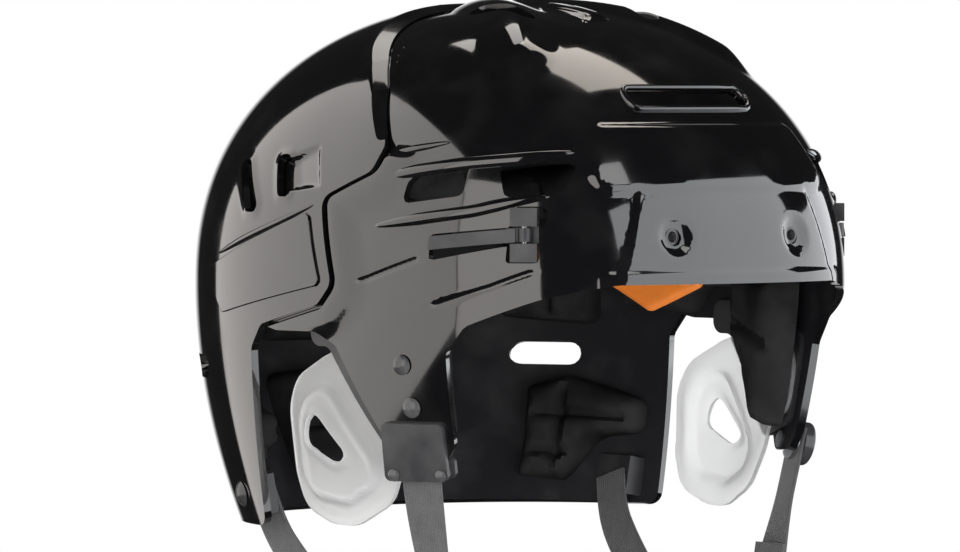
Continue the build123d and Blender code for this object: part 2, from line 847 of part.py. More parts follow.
def make_chin_strap():
    """The chin strap: down the right side, under the chin and up to the left buckle."""
    clip = skin_plane(strap_top_y, strap_top_level, strap_sink)
    top = side_place(strap_twist_level)
    twist = ribbon([
        (clip.origin, -clip.y_dir, clip.x_dir),
        (clip.origin - clip.y_dir * webbing_width / 2, -clip.y_dir, clip.x_dir),
        (top + side_upward * webbing_width / 2, -side_upward, forward),
        (top, -side_upward, forward),
    ])
    low, end = side_place(strap_low_level), side_place(buckle_level)
    corners = [(top.X, top.Z), (low.X, low.Z), (-low.X, low.Z), (-end.X, end.Z)]
    plane = Plane((0, strap_top_y, 0), x_dir=(1, 0, 0), z_dir=(0, -1, 0))
    path = FilletPolyline(*corners, radius=chin_round)
    run = extrude(
        plane * trace(path, line_width=webbing_thickness), amount=webbing_width / 2,
        both=True,
    )
    ring = mirror(bar_rod(0, strap_loop_radius, webbing_width), about=Plane.YZ)
    room = mirror(bar_rod(0, bar_radius + loop_gap, 2 * webbing_width), about=Plane.YZ)
    return twist + run + ring - room


def bar_rod(height, radius, length):
    """A rod along the width of the right strap, at a height over the lower bar."""
    turn = Location((0, height, 0), (0, 90, 0))
    return strap_plane(buckle_level) * turn * Cylinder(radius, length)


def make_buckle():
    """A two-bar buckle frame on the right side, with round corners."""
    reach = webbing_width / 2 + buckle_side_gap + bar_radius
    span = buckle_height - 2 * bar_radius
    frame = bar_rod(0, bar_radius, 2 * reach) + bar_rod(span, bar_radius, 2 * reach)
    for side in (-1, 1):
        upright = Location((side * reach, span / 2, 0), (90, 0, 0))
        frame += strap_plane(buckle_level) * upright * Cylinder(bar_radius, span)
        for height in (0, span):
            corner = Location((side * reach, height, 0))
            frame += strap_plane(buckle_level) * corner * Sphere(bar_radius)
    return frame


def make_slider():
    """The length slider round the right side of the chin strap."""
    plane = strap_plane((2 * strap_twist_level + strap_foot_level) / 3)
    width = webbing_width + 2 * buckle_side_gap
    depth = webbing_thickness + 2 * slider_gap
    outer = Box(width + 2 * slider_wall, slider_height, depth + 2 * slider_wall)
    outer = fillet(outer.edges().filter_by(Axis.Y), slider_wall * 0.6)
    return plane * (outer - Box(width, 2 * slider_height, depth))


def make_front_strap():
    """The snap-on front strap, made on the right side and mirrored to the left."""
    seat = skin_plane(strap_top_y, snap_level, strap_snap_offset)
    tab = seat * Location((0, -snap_radius / 2, 0)) * Box(
        webbing_width, snap_radius, webbing_thickness
    )
    tab += seat * Cylinder(webbing_width / 2, webbing_thickness)
    span = buckle_height - 2 * bar_radius
    foot = strap_plane(buckle_level).from_local_coords(Vector(0, span, 0))
    stations = [
        (seat.origin - seat.y_dir * snap_radius, -seat.y_dir, seat.x_dir),
        (seat.origin - seat.y_dir * snap_radius * 2, -seat.y_dir, seat.x_dir),
        (foot + side_upward * snap_radius, -side_upward, forward),
        (foot, -side_upward, forward),
    ]
    strap = ribbon(stations) + tab + bar_rod(span, strap_loop_radius, webbing_width)
    strap -= bar_rod(span, bar_radius + loop_gap, 2 * webbing_width)
    return strap - rod(seat, stud_radius + stud_room, -overrun, overrun)


def make_snap_cap():
    """The cap of the snap, over the strap, made on the right side and mirrored."""
    seat = skin_plane(strap_top_y, snap_level, strap_snap_offset + webbing_thickness / 2)
    cap = rod(seat, snap_radius, 0, snap_cap_height)
    cap = fillet(cap.edges().filter_by(GeomType.CIRCLE).sort_by_distance(seat.origin)[-1:],
                 snap_cap_height / 3)
    room = rod(seat, stud_radius + stud_room, -overrun, snap_cap_height * 0.7)
    return cap - room


def make_stud():
    """The stud of the snap on the shell, made on the right side and mirrored."""
    seat = skin_plane(strap_top_y, snap_level)
    base = rod(seat, stud_base_radius, snap_gap * 2, snap_gap * 2 + stud_base_height)
    inner = -wall - snap_gap
    back = rod(seat, stud_back_radius, inner - stud_back_thickness, inner)
    return base + back + rod(seat, stud_radius, inner, stud_height)


def make_clip():
    """The right strap clip: a plate outside the shell's edge and one inside it."""
    low = rivet_level - rivet_head_radius - clip_gap
    seat = skin_plane(strap_top_y, low + clip_height / 2)
    outline = RectangleRounded(clip_width, clip_height, rivet_head_radius)
    front = extrude(seat * outline, amount=overrun, both=True)
    inner_height = clip_overlap + edge_level - low
    seat = skin_plane(strap_top_y, low + inner_height / 2)
    outline = RectangleRounded(clip_width, inner_height, rivet_head_radius)
    back = extrude(seat * outline, amount=overrun, both=True)
    plate = band(clip_gap + clip_thickness, clip_gap) & front
    inner = band(-wall - clip_gap, -wall - clip_gap - clip_thickness) & back
    bridge = band(clip_gap + clip_thickness, -wall - clip_gap - clip_thickness) & back
    seat = skin_plane(strap_top_y, rivet_level)
    posts = [
        seat * Location((side * rivet_out, 0, 0)) * Cylinder(rivet_head_radius * 0.8, overrun)
        for side in (-1, 1)
    ]
    clip = plate + inner + [bridge & post for post in posts]
    return clip - [rivet_place(side, rivet_radius + screw_gap) for side in (-1, 1)]


def rivet_place(side, radius):
    """A cylinder on the axis of one clip rivet."""
    seat = skin_plane(strap_top_y, rivet_level)
    return seat * Location((side * rivet_out, 0, 0)) * Cylinder(radius, 2 * overrun)


def make_clip_rivets():
    """The two domed rivets of the right clip."""
    rivets = []
    seat = skin_plane(strap_top_y, rivet_level, clip_gap + clip_thickness + clip_gap)
    depth = wall + clip_gap * 2 + clip_thickness * 2
    for side in (-1, 1):
        plane = Plane(
            seat.from_local_coords(Vector(side * rivet_out, 0, -rivet_sink)),
            x_dir=seat.x_dir, z_dir=seat.z_dir,
        )
        rivets.append(
            dome_rivet(plane, rivet_radius, rivet_head_radius, rivet_head_height, depth)
        )
    return rivets


def make_rear_strap():
    """The right rear strap, flat against the inside of the chin strap at its foot."""
    inward = webbing_thickness + strap_lap_gap
    stations = []
    for y_share, z_share in rear_strap_shares:
        height = rear_anchor_level + (rear_foot_level - rear_anchor_level) * z_share
        place = side_place(height, inward)
        place.Y = rear_anchor_y + (strap_top_y - rear_anchor_y) * y_share
        stations.append(place)
    ends = [stations[1] - stations[0]]
    ends += [after - before for before, after in zip(stations, stations[2:])]
    ends.append(stations[-1] - stations[-2])
    return ribbon(
        [(place, along, along.cross(side_outward)) for place, along in zip(stations, ends)]
    )


def make_rear_anchor():
    """The block that joins the right rear strap to the rear shell."""
    plane = Plane(
        side_place(rear_anchor_level, webbing_thickness / 2 + strap_lap_gap - loop_gap),
        x_dir=forward, z_dir=side_outward,
    )
    plane.origin = Vector(plane.origin.X, rear_anchor_y, plane.origin.Z)
    body = plane * Box(
        rear_anchor_width, rear_anchor_width * 0.8, overrun,
        align=(Align.CENTER, Align.CENTER, Align.MIN),
    )
    body = body & head_form(rear_inner - clip_gap)
    return body - rod(rear_rivet_plane(), rear_rivet_radius + screw_gap, -rear_rivet_depth, 0)


def make_rear_rivet():
    """The right rear rivet, its head outside the rear shell."""
    plane = skin_plane(rear_anchor_y, rear_anchor_level, rear_outer + rear_rivet_lift)
    return dome_rivet(
        plane, rear_rivet_radius, rear_rivet_head_radius, rear_rivet_head_height,
        rear_rivet_depth - screw_gap,
    )


def write(name, shape):
    """Writes one node."""
    if isinstance(shape, (list, tuple)):
        shape = Compound(children=list(shape))
    export_step(shape, f"parts/{name}.step")


def write_pair(name, shape):
    """Writes a right-hand node and its mirror image."""
    write(f"{name}_right", shape)
    write(f"{name}_left", mirror(shape, about=Plane.YZ))


def write_group(name, solids):
    """Writes solids of the right side and their mirror images as one node."""
    write(name, list(solids) + [mirror(solid, about=Plane.YZ) for solid in solids])


def main():
    """Writes every node."""
    foam_outer = -wall - pad_gap
    write("front_shell", make_front_shell())
    write("rear_shell", make_rear_shell())
    write_pair("adjuster_rail", make_rail())
    write_group("rail_screws", [make_rail_screw()])
    write_pair("lock_lever", make_lever())
    write_pair("lever_housing", make_housing())
    write_group("lever_pins", [make_lever_pin()])
    write_pair("ear_guard_bracket", make_bracket())
    write_pair("ear_guard", make_guard())
    write_group("side_screws", make_side_screws())
    write_group("side_screw_nuts", make_side_nuts())
    write_group("visor_tee_nuts", [make_tee_nut()])
    write("forehead_pad", make_forehead_pad())
    crown_pad = top_pad(
        crown_pad_y, crown_pad_length, crown_pad_width, foam_outer, -crown_pad_x
    )
    write_pair("crown_pad", crown_pad)
    write_pair("upper_side_pad", side_pad(upper_side_pad_shares, pad_reach))
    write_pair("lower_side_pad", side_pad(lower_side_pad_shares, pad_reach))
    write_pair("temple_pad", make_temple_pad())
    write_pair("impact_insert", make_insert())
    write_pair("rear_lower_pad", make_rear_lower_pad())
    rear_upper = side_pad(
        rear_upper_pad_shares, rear_pad_reach, pad_round, rear_inner - pad_gap
    )
    write_pair("rear_upper_pad", rear_upper)
    foam_rear = rear_inner - pad_gap
    write(
        "occipital_pad",
        middle_pad(occipital_low_share, occipital_high_share, middle_pad_half_width, foam_rear),
    )
    write(
        "rear_middle_pad",
        middle_pad(middle_low_share, middle_high_share, middle_pad_half_width, foam_rear),
    )
    write(
        "rear_crown_pad",
        top_pad(rear_crown_pad_y, rear_crown_pad_length, rear_crown_pad_width, foam_rear),
    )
    write("strap_clip_right", make_clip())
    write("clip_rivets", make_clip_rivets())
    write("chin_strap", make_chin_strap())
    write("strap_slider_right", make_slider())
    write("strap_buckle_left", mirror(make_buckle(), about=Plane.YZ))
    write("front_strap_left", mirror(make_front_strap(), about=Plane.YZ))
    write("snap_cap_left", mirror(make_snap_cap(), about=Plane.YZ))
    write("snap_stud_left", mirror(make_stud(), about=Plane.YZ))
    write_pair("rear_strap", make_rear_strap())
    write_pair("rear_strap_anchor", make_rear_anchor())
    write_group("rear_strap_rivets", [make_rear_rivet()])


main()
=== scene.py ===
import json
import math

import bmesh
import bpy
import numpy as np
from bpy.props import FloatProperty, FloatVectorProperty, IntProperty, PointerProperty
from mathutils import Matrix, Vector


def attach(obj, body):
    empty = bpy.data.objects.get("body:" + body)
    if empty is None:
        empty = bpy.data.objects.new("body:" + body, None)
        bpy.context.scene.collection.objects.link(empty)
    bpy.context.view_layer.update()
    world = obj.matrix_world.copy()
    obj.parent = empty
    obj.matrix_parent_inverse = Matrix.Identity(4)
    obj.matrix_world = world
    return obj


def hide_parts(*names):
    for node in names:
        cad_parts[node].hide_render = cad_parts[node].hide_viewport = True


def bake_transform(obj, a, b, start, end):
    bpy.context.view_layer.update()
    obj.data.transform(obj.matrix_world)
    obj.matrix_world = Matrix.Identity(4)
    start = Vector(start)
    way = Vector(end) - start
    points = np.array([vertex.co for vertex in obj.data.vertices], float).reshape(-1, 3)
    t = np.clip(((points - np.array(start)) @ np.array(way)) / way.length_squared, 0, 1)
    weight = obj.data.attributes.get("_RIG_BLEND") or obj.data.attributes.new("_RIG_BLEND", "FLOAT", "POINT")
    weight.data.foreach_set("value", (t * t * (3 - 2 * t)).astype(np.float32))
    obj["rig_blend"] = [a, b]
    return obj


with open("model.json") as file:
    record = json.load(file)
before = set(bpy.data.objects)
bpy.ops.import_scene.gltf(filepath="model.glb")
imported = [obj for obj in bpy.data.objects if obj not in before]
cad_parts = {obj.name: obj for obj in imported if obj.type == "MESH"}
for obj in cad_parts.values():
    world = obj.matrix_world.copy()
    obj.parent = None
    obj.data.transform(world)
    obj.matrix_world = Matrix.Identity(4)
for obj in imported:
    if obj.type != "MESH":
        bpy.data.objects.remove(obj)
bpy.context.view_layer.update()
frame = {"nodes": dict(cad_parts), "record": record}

bl_info = {
    "name": "Ice hockey helmet",
    "version": (1, 0, 0),
    "blender": (4, 5, 0),
    "location": "3D View > Sidebar > Helmet",
    "description": "Models the helmet's shells, pads, guards and straps on its frame",
    "category": "Add Mesh",
}

MM = 0.001

# The head form of the construction model, in millimetres: the front shell's outer face
CROWN_HEIGHT, WIDEST_HEIGHT, HALF_WIDTH = 201.0, 95.0, 107.0
FRONT_REACH, REAR_REACH = 122.0, 134.0
SIDE_TUCK, FRONT_TUCK, REAR_TUCK = 7.0, 6.0, 34.0
SIDE_POWER, FRONT_POWER, REAR_POWER = 2.3, 2.1, 2.15
FRONT_SQUARENESS, FRONT_SOFTENING, REAR_SQUARENESS = 2.5, 0.9, 2.3
CENTRE = np.array((0.0, 0.0, WIDEST_HEIGHT))

# How places on that form are found: limits of the search, its halvings and test steps
INNER_LIMIT, OUTER_LIMIT, HALVINGS = 20.0, 230.0, 34
NORMAL_STEP, SLIDE_STEP, SEAT_STEP = 0.2, 0.05, 1.5

# Flat views: the axis that each looks along, the side it looks from, and the axes it keeps
VIEWS = {
    "right": (0, -1, [1, 2]), "front": (1, -1, [0, 2]), "back": (1, 1, [0, 2]),
    "top": (2, 1, [0, 1]),
}

# Walls and the levels of the parts inside them, as offsets from that face
WALL, LEAST_WALL, REAR_OUTER = 3.0, 0.5, 3.6
PAD_OUTER, REAR_PAD_OUTER, TEMPLE_OUTER, INSERT_OUTER = -3.4, 0.2, -8.0, -17.7
PAD_DEPTH, INSERT_DEPTH, CHANNEL_DEPTH, THIN_PAD = 14.0, 2.4, 4.6, 5
PAD_CELL, INSERT_CELL, INSERT_SOFT, PAD_EDGE_SHARE, PAD_CROWN_SHARE = 1.7, 1.4, 2.2, 0.4, 0.05
GUARD_OUTER, GUARD_WALL, GUARD_RIM = -5.6, 2.0, 0.6
PANEL_RISE, PANEL_DEPTH, PANEL_CELL, PANEL_RIM, PANEL_RIM_STEPS = 1.0, 2.4, 1.6, 0.8, 4

# Pads narrow inwards from these distances, by the tangent of their draft
DRAFT = math.tan(math.radians(12))
DRAFT_FROM = {"right": 110.6, "front": 125, "back": 137, "top": 204}

# Side view outlines, as shares of the reaches and of the crown height
FRONT_OUTLINE = (
    (-1.3, 1.15), (0.46, 1.15), (0.373, 0.746), (0.313, 0.418), (0.134, 0.393),
    (-0.033, 0.393), (-0.115, 0.368), (-0.344, 0.142), (-0.467, 0.147), (-0.508, 0.189),
    (-0.525, 0.358), (-0.59, 0.408), (-0.787, 0.458), (-0.926, 0.485), (-1.3, 0.485),
)
REAR_OUTLINE = (
    (0.239, 1.144), (0.179, 1.01), (-0.033, 0.91), (-0.148, 0.851), (-0.279, 0.741),
    (-0.254, 0.692), (-0.057, 0.642), (-0.131, 0.483), (-0.066, 0.443), (0.201, 0.403),
    (0.254, 0.358), (0.254, 0.02), (1.25, 0.02), (1.25, 1.144),
)
PANEL = ((-0.01, 0.617), (-0.085, 0.48), (0.415, 0.42), (0.535, 0.5))
SLOTS = (
    ((-0.369, 0.632), (-0.375, 0.672), (-0.41, 0.694), (-0.56, 0.71), (-0.566, 0.648)),
    ((-0.63, 0.715), (-0.8, 0.712), (-0.8, 0.652), (-0.68, 0.645)),
)
REAR_SLOTS = (
    ((0.33, 0.71), (0.4, 0.712), (0.3, 0.612), (0.225, 0.612)),
    ((0.13, 0.722), (0.19, 0.72), (0.145, 0.642), (0.08, 0.642)),
)
GUARD = (
    (-0.012, 0.345), (0.115, 0.305), (0.157, 0.25), (0.146, 0.123), (0.115, 0.06),
    (0, 0.032), (-0.1, 0.03), (-0.24, 0.075), (-0.3, 0.15), (-0.32, 0.215),
    (-0.44, 0.215), (-0.44, 0.36), (-0.08, 0.36),
)
CUP = (
    (-0.03, 0.3), (0.08, 0.27), (0.112, 0.23), (0.103, 0.13), (0.07, 0.085),
    (-0.08, 0.07), (-0.19, 0.105), (-0.215, 0.15),
)
EAR_HOLE = ((0.028, 0.258), (0.07, 0.185), (-0.06, 0.147), (-0.125, 0.163))
TEMPLE_PAD = (
    (-0.47, 0.17), (-0.36, 0.165), (-0.15, 0.37), (-0.15, 0.5), (-0.49, 0.5), (-0.49, 0.2),
)
LOWER_SIDE_PAD = (
    (-0.12, 0.45), (0.05, 0.45), (0.08, 0.395), (0.38, 0.4), (0.38, 0.53), (-0.12, 0.53),
)
UPPER_SIDE_PAD = ((-0.62, 0.63), (0.34, 0.63), (0.42, 0.79), (-0.45, 0.79))
IMPACT_INSERT = ((-0.035, 0.515), (0.35, 0.515), (0.35, 0.46), (0.19, 0.405), (-0.035, 0.46))
REAR_LOWER_PAD = (
    (0.5, 0.035), (0.7, 0.03), (0.72, 0.27), (0.56, 0.29), (0.3, 0.23), (0.3, 0.15),
    (0.44, 0.135),
)
REAR_UPPER_PAD = ((0.47, 0.36), (0.82, 0.35), (0.8, 0.72), (0.49, 0.72))

# Corner radii of the outlines, the arcs' steps and how much of an edge an arc may take
EDGE_RADIUS, SLOT_RADIUS, WINDOW_RADIUS, PANEL_RADIUS, SCOOP_RADIUS = 5, 2.4, 1.0, 2.5, 1.5
GUARD_RADIUS, CUP_RADIUS, EAR_HOLE_RADIUS, PAD_RADIUS, INSERT_RADIUS = 16, 14, 5, 7.0, 4
HOOD_RADIUS, RIB_BEND = 3, 40
CORNER_STEPS, RIB_STEPS, CHIN_STEPS, ARC_SHARE, LEAST_SWEEP = 5, 6, 24, 0.48, 0.02

# Moulded lines of the shells, in millimetres: backward and up, or across and up
WING_EDGE = ((24, 203), (-4, 183), (-18, 171), (-31, 155))
RIBS = (
    (((-30, 144.4), (-46, 147.7), (-58, 150)), 3.6, 1.5),
    (((-28, 135.4), (-49.5, 139.6), (-68, 142.3), (-82.5, 143.8), (-95, 146.2)), 5.0, 1.9),
    (((-34, 118.8), (-56, 122), (-74, 124.6), (-85, 127.8), (-95, 130)), 4.8, 1.8),
)
REAR_RIBS = ((((60, 107), (34, 114.6), (16, 119.8), (-3, 126.2)), 2.8, 1.4),)
RIB_TAPER, RIB_STEP, RIB_TIP, VENT_LIP_WIDTH, VENT_LIP_HEIGHT = 20, 1.5, 0.1, 2.4, 1.5
LOWER_CREASES = (((-28, 98), (-54, 106.5)), ((-62, 89.8), (-82, 96.5), (-94, 102)))
SCOOP = ((1, 149.5), (-6.2, 132.5), (14.5, 131), (21, 143))
ZONE = ((-56, 90), (-42, 131.5), (42, 131.5), (56, 90))
PLATE = ((-60, 131.7), (60, 131.7), (48, 155.8), (-48, 155.8))
BROW = ((-60, 90), (60, 90), (60, 102), (-60, 102))
FRONT_PLATES = ((ZONE, 4, 1.0), (PLATE, 5, 1.6), (BROW, 3, 0.9))
CROWN_RIDGE = ((10, 14), (26, -20), (42, -42), (50, -54))
HOOD = ((-7, -42), (7, -42), (5, -12), (-5, -12))
FOREHEAD_PAD = ((-54, 100.5), (54, 100.5), (43.2, 148.7), (-43.2, 148.7))
LEVER_WINDOW = ((-91.5, 119.2), (-59.3, 116.0), (-59.3, 106.2), (-91.5, 112.8))
HOUSING_WINDOW = ((-96.0, 126.4), (-86.6, 126.4), (-86.6, 105.6), (-96.0, 105.6))

# Openings in flat views: middle, width, height and corner radius
FRONT_VENT = (0, 166, 60, 8, 3.6)
CROWN_VENTS = ((-31, -22, 7, 34, 3.4), (31, -22, 7, 34, 3.4))
SLIDE_SLOT = (25.6, 115.5, 24.6, 9.4, 0.6)
REAR_VENT, NAPE_SLOT = (88, 63, 26, 9, 4.4), (0, 112, 34, 8, 3.9)
VISOR_HOLES, VISOR_HOLE_RADIUS = ((-30, 115), (30, 115)), 3.35

# Rail bosses: size, the right one's place and the rounding of its edges
BOSS_SIZE, BOSS_PLACE, BOSS_BEVEL = (14.6, 10, 8), (-99.2, 19, 115.5), 0.8

# Reliefs: height, where the slope starts and how wide it is, in millimetres. A height of 1
# is a share that fades another relief. The plates' heights are in their table.
RIDGE_FORM, HOOD_FORM, DIMPLE_FORM = (4.0, 0, 16), (2.2, 0, 3), (1.9, 4.4, 3.4)
PLATE_SLOPE = (-1.7, 3.4)
STEP_FORM, STEP_FADE, STEP_TOP = (2.5, 0.7, 1.0), (1, 3, 14), (1, 142, 8)
STEP_LINES, STEP_MIDDLE, STEP_HALF = (0.7, 1.7), 1.2, 0.6
CREASE_FORM, CREASE_SIDE = (0.8, 0, 1.5), (1, 56, 6)
VENT_FORM, VENT_FADE, VENT_POCKET = (0.5, 0, 3), (1, -1, 2), (6.0, -2.6, 2)
SPINE_FORM, SPINE_FOOT, SLIDE_ROOM = (1.6, 9, 6), (1, 20, 30), (0.9, -9, 2)
CUP_FORM, HOLE_LIP, GUARD_BORDER = (3.4, -1.36, 3.4), (1.2, 0.4, 2.4), (0.8, 0, 3)
CHANNEL_END = (1, 1.5, 4)

# The rear shell's chamfer, and the floor of its scoop, which deepens backward
CHAMFER_DEPTH, CHAMFER_REACH, CHAMFER_BAND = 2.9, 4.4, 4
SCOOP_LEAST, SCOOP_DEPTH, SCOOP_RUN, SCOOP_SLOPE = 0.3, 2.0, 15, 2.2
SCOOP_LEAN, SCOOP_FRONT, SCOOP_MIDDLE = 0.42, 3, 141

# Where reliefs and openings of a flat view apply
CROWN_FROM, CROWN_VENTS_FROM, SPINE_FROM, FRONT_UP_TO, PLATES_UP_TO = 130, 120, 40, -20, -60

# Meshing: a quarter turn's length, how far finer cells reach, and shares of the spacing
QUARTER_TURN, REFINE_REACH, SNAP_SHARE, SLIDE_SHARE, FAR_SHARE = 173.0, 2.8, 0.3, 0.6, 4
LEAST_SLOPE, CREASE_ANGLE, BEVEL_ANGLE = 0.15, math.radians(50), math.radians(55)

# Strap sizes, in millimetres
WEBBING_WIDTH, WEBBING_THICKNESS, WEBBING_STEP, WEBBING_SQUARENESS = 16.0, 1.6, 2.2, (0.45, 0.3)
STRAP_Y, STRAP_TOP, STRAP_FOOT, STRAP_FOOT_OUT, STRAP_LOW = -47.0, 26.0, -62.0, 76.0, -108.0
TWIST_LEVEL, BUCKLE_LEVEL, BUCKLE_SPAN, CHIN_ROUND = -18.0, -42.0, 14.0, 45.0
CLIP_LEAD, CLIP_PULL, SNAP_TIP, SNAP_LEAD, SNAP_PULL = 6, 34, 6, 7.5, 26
SNAP_LEVEL, SNAP_OFFSET, RUN_STEPS = 33.0, 3.05, 12
REAR_ANCHOR, REAR_STRAP_FOOT, LAP_GAP = (51.0, 16.0), -57.0, 0.3

# Shares of a strap: where its twist starts and how long it is, and places forward and down
CHIN_TWIST, SNAP_TWIST = (0, 0.14), (0.25, 0.4)
REAR_STRAP_SHARES = ((0, 0), (0.1, 0.3), (0.45, 0.72), (0.92, 1))

# Folds round a buckle's bar: middle line's radius, gap behind, angles and steps, and for
# each strap how far it leads in, leaves the bar, is pressed flat, arrives there and ends
BAR_LOOP, FOLD_GAP, FOLD_START, FOLD_END, FOLD_STEPS, FOLD_RUN_STEPS = 2.42, 1.75, 12, 172, 18, 8
CHIN_FOLD, SNAP_FOLD = (16, 14, 14, 12, 30), (12, 10, 11, 10, 22)

# Stage, in metres and degrees, with azimuths from +X; the lens is in millimetres and its
# shift in shares of the picture's width
LENS_LENGTH, SENSOR_WIDTH, LENS_SHIFT = 253.5, 36.0, (-46 / 960, -6 / 960)
CAMERA_AZIMUTH, CAMERA_ELEVATION, CAMERA_REACH, AIM_HEIGHT = -131, 1.5, 2.6, 0.1
FLOOR_RADIUS, FLOOR_HEIGHT, FLOOR_FADE = 2.4, -0.1125, (0.35, 1.3)
BACKDROP_WAY, BACKDROP_ASIDE, BACKDROP_UP = (0.656, 0.755, 0.0), (0.93, 0.985), (0.26, 0.16)
MIRRORED_LEVEL, FILL_LEVEL, SOFT_BOX_BASE = 0.015, 0.5, 0.09

# Soft boxes: name, azimuth and elevation in degrees, then reach, rise, width and height in
# metres, the share of the level, and warmth, which is below zero for a cool light
SOFT_BOXES = (
    ("Side soft box", 140, 0, 1.4, 0.6, 2.52, 2.2, 1.08, 0.08),
    ("Side front soft box", 202.5, 0, 1.776, 0.38, 1.29, 2.0, 1.38, 0.08),
    ("Front soft box", -63, 0, 1.5, 0.23, 2.05, 1.56, 1.45, -0.05),
    ("Front left soft box", -9, 0, 1.567, -0.06, 1.14, 1.02, 1.45, -0.05),
    ("Patch soft box", -91, 42, 1.5, 0, 0.36, 0.34, 1.7, 0.02),
    ("Top soft box", 15, 66, 1.5, 0, 0.56, 0.56, 1.8, 0.18),
    ("Edge soft box", 58, 60, 1.5, 0, 0.46, 0.6, 1.3, 0.1),
    ("Fill soft box", 225, 16, 1.5, 0, 1.8, 1.2, 1.4, 0),
    ("Low fill soft box", 238, 0, 0.5, -0.12, 0.5, 0.16, 4.6, 0),
)

# Finishes: name, effect and colour setting, the effect's values, the two shades as a share of
# the colour and of white, the two roughnesses, bump in millimetres and other inputs
FINISHES = (
    ("Gloss plastic", "moulding", "shell", (("Wave Scale", 22.0), ("Grain", 0.004)),
     (0.2, 0), (0.2, 0.004), (0.07, 0.17), 0.35,
     (("IOR", 1.6), ("Coat Weight", 1.0), ("Coat Roughness", 0.04), ("Coat IOR", 1.6))),
    ("Inner plastic", "moulding", "shell", (("Wave Scale", 60.0), ("Grain", 0.4)),
     (1, 0), (1, 0.02), (0.5, 0.66), 0.06, (("Specular IOR Level", 0.3),)),
    ("Satin plastic", "moulding", "fittings", (("Wave Scale", 90.0), ("Grain", 0.5)),
     (1, 0), (1, 0.03), (0.34, 0.5), 0.06, ()),
    ("Clear plastic", "moulding", "guards", (("Wave Scale", 40.0), ("Grain", 0.02)),
     (1, 0.88), (1, 0.94), (0.4, 0.46), 0.02, (("Transmission Weight", 0.86), ("IOR", 1.49))),
    ("Foam", "foam", "foam", (), (0.5, 0), (1, 0.003), (0.75, 0.95), 0.16,
     (("Specular IOR Level", 0.12),)),
    ("Orange polymer", "foam", "inserts", (("Cell Scale", 420.0),), (1, 0), (0.94, 0),
     (0.45, 0.6), 0.08, ()),
    # Webbing's two shades are mixed by painted shade: darker in the weave's hollows, lighter on its crests
    ("Webbing", "weave", "webbing", (), (0.2, 0), (1, 0.01), (0.7, 0.82), 0.14,
     (("Sheen Weight", 0.25),)),
    ("Plated steel", "moulding", "steel", (("Wave Scale", 120.0), ("Grain", 0.6)),
     (1, 0), (0.4, 0), (0.38, 0.58), 0.02, (("Metallic", 1.0),)),
    ("Coated steel", "moulding", "coated", (("Wave Scale", 150.0), ("Grain", 0.3)),
     (1, 0), (1, 0.06), (0.22, 0.42), 0.03, (("Coat Weight", 0.3),)),
)
SLOT_FINISHES = {
    "shell_gloss": "Gloss plastic", "black_plastic": "Satin plastic", "steel": "Plated steel",
    "black_steel": "Coated steel", "foam": "Foam", "clear_plastic": "Clear plastic",
    "orange_insert": "Orange polymer", "webbing": "Webbing",
}


def reaches(height, offset=0.0):
    """Half width, front reach, rear reach and front squareness at each height."""
    rise = np.clip((height - WIDEST_HEIGHT) / (CROWN_HEIGHT + offset - WIDEST_HEIGHT), 0, 1)
    fall = np.clip((WIDEST_HEIGHT - height) / WIDEST_HEIGHT, 0, None)

    def arch(reach, power, tuck):
        up = np.maximum(1 - rise**power, 1e-9) ** (1 / power)
        return np.maximum((reach + offset) * up - tuck * fall**2, 1e-6)

    return (
        arch(HALF_WIDTH, SIDE_POWER, SIDE_TUCK),
        arch(FRONT_REACH, FRONT_POWER, FRONT_TUCK),
        arch(REAR_REACH, REAR_POWER, REAR_TUCK),
        FRONT_SQUARENESS - FRONT_SOFTENING * fall,
    )


def outside(points, offset=0.0):
    """Above zero where a point lies outside the form."""
    side, front, rear, squareness = reaches(points[:, 2], offset)
    ahead = points[:, 1] < 0
    reach = np.where(ahead, front, rear)
    power = np.where(ahead, squareness, REAR_SQUARENESS)
    plan = (np.abs(points[:, 0]) / side) ** power + (np.abs(points[:, 1]) / reach) ** power
    return plan ** (1 / power) - 1


def form_reach(out_at, least, count):
    """How far the form reaches, by halving; out_at tells for reaches what lies outside."""
    low, high = np.full(count, least), np.full(count, OUTER_LIMIT)
    for _ in range(HALVINGS):
        middle = (low + high) / 2
        out = out_at(middle) > 0
        high = np.where(out, middle, high)
        low = np.where(out, low, middle)
    return high


def settle(points, offset=0.0):
    """Moves points onto the form, straight from its centre."""
    away = points - CENTRE
    away /= np.linalg.norm(away, axis=1)[:, None]

    def out_at(reach):
        return outside(CENTRE + away * reach[:, None], offset)

    return CENTRE + away * form_reach(out_at, INNER_LIMIT, len(points))[:, None]


def on_form(flat, view, offset=0.0):
    """Places of a flat view moved along it onto the form."""
    axis, sign, kept = VIEWS[view]
    points = np.zeros((len(flat), 3))
    points[:, kept] = flat

    def out_at(depth):
        points[:, axis] = depth * sign
        return outside(points, offset)

    least = WIDEST_HEIGHT if view == "top" else 0.0
    points[:, axis] = form_reach(out_at, least, len(flat)) * sign
    return points


def differences(field, points, step):
    """How a field changes along each axis, over a step to both sides."""
    shifts = np.eye(3) * step
    return np.stack([field(points + shift) - field(points - shift) for shift in shifts], axis=1)


def normals(points, offset=0.0):
    """The form's outward directions at points."""
    found = differences(lambda moved: outside(moved, offset), points, NORMAL_STEP)
    return found / np.linalg.norm(found, axis=1)[:, None]


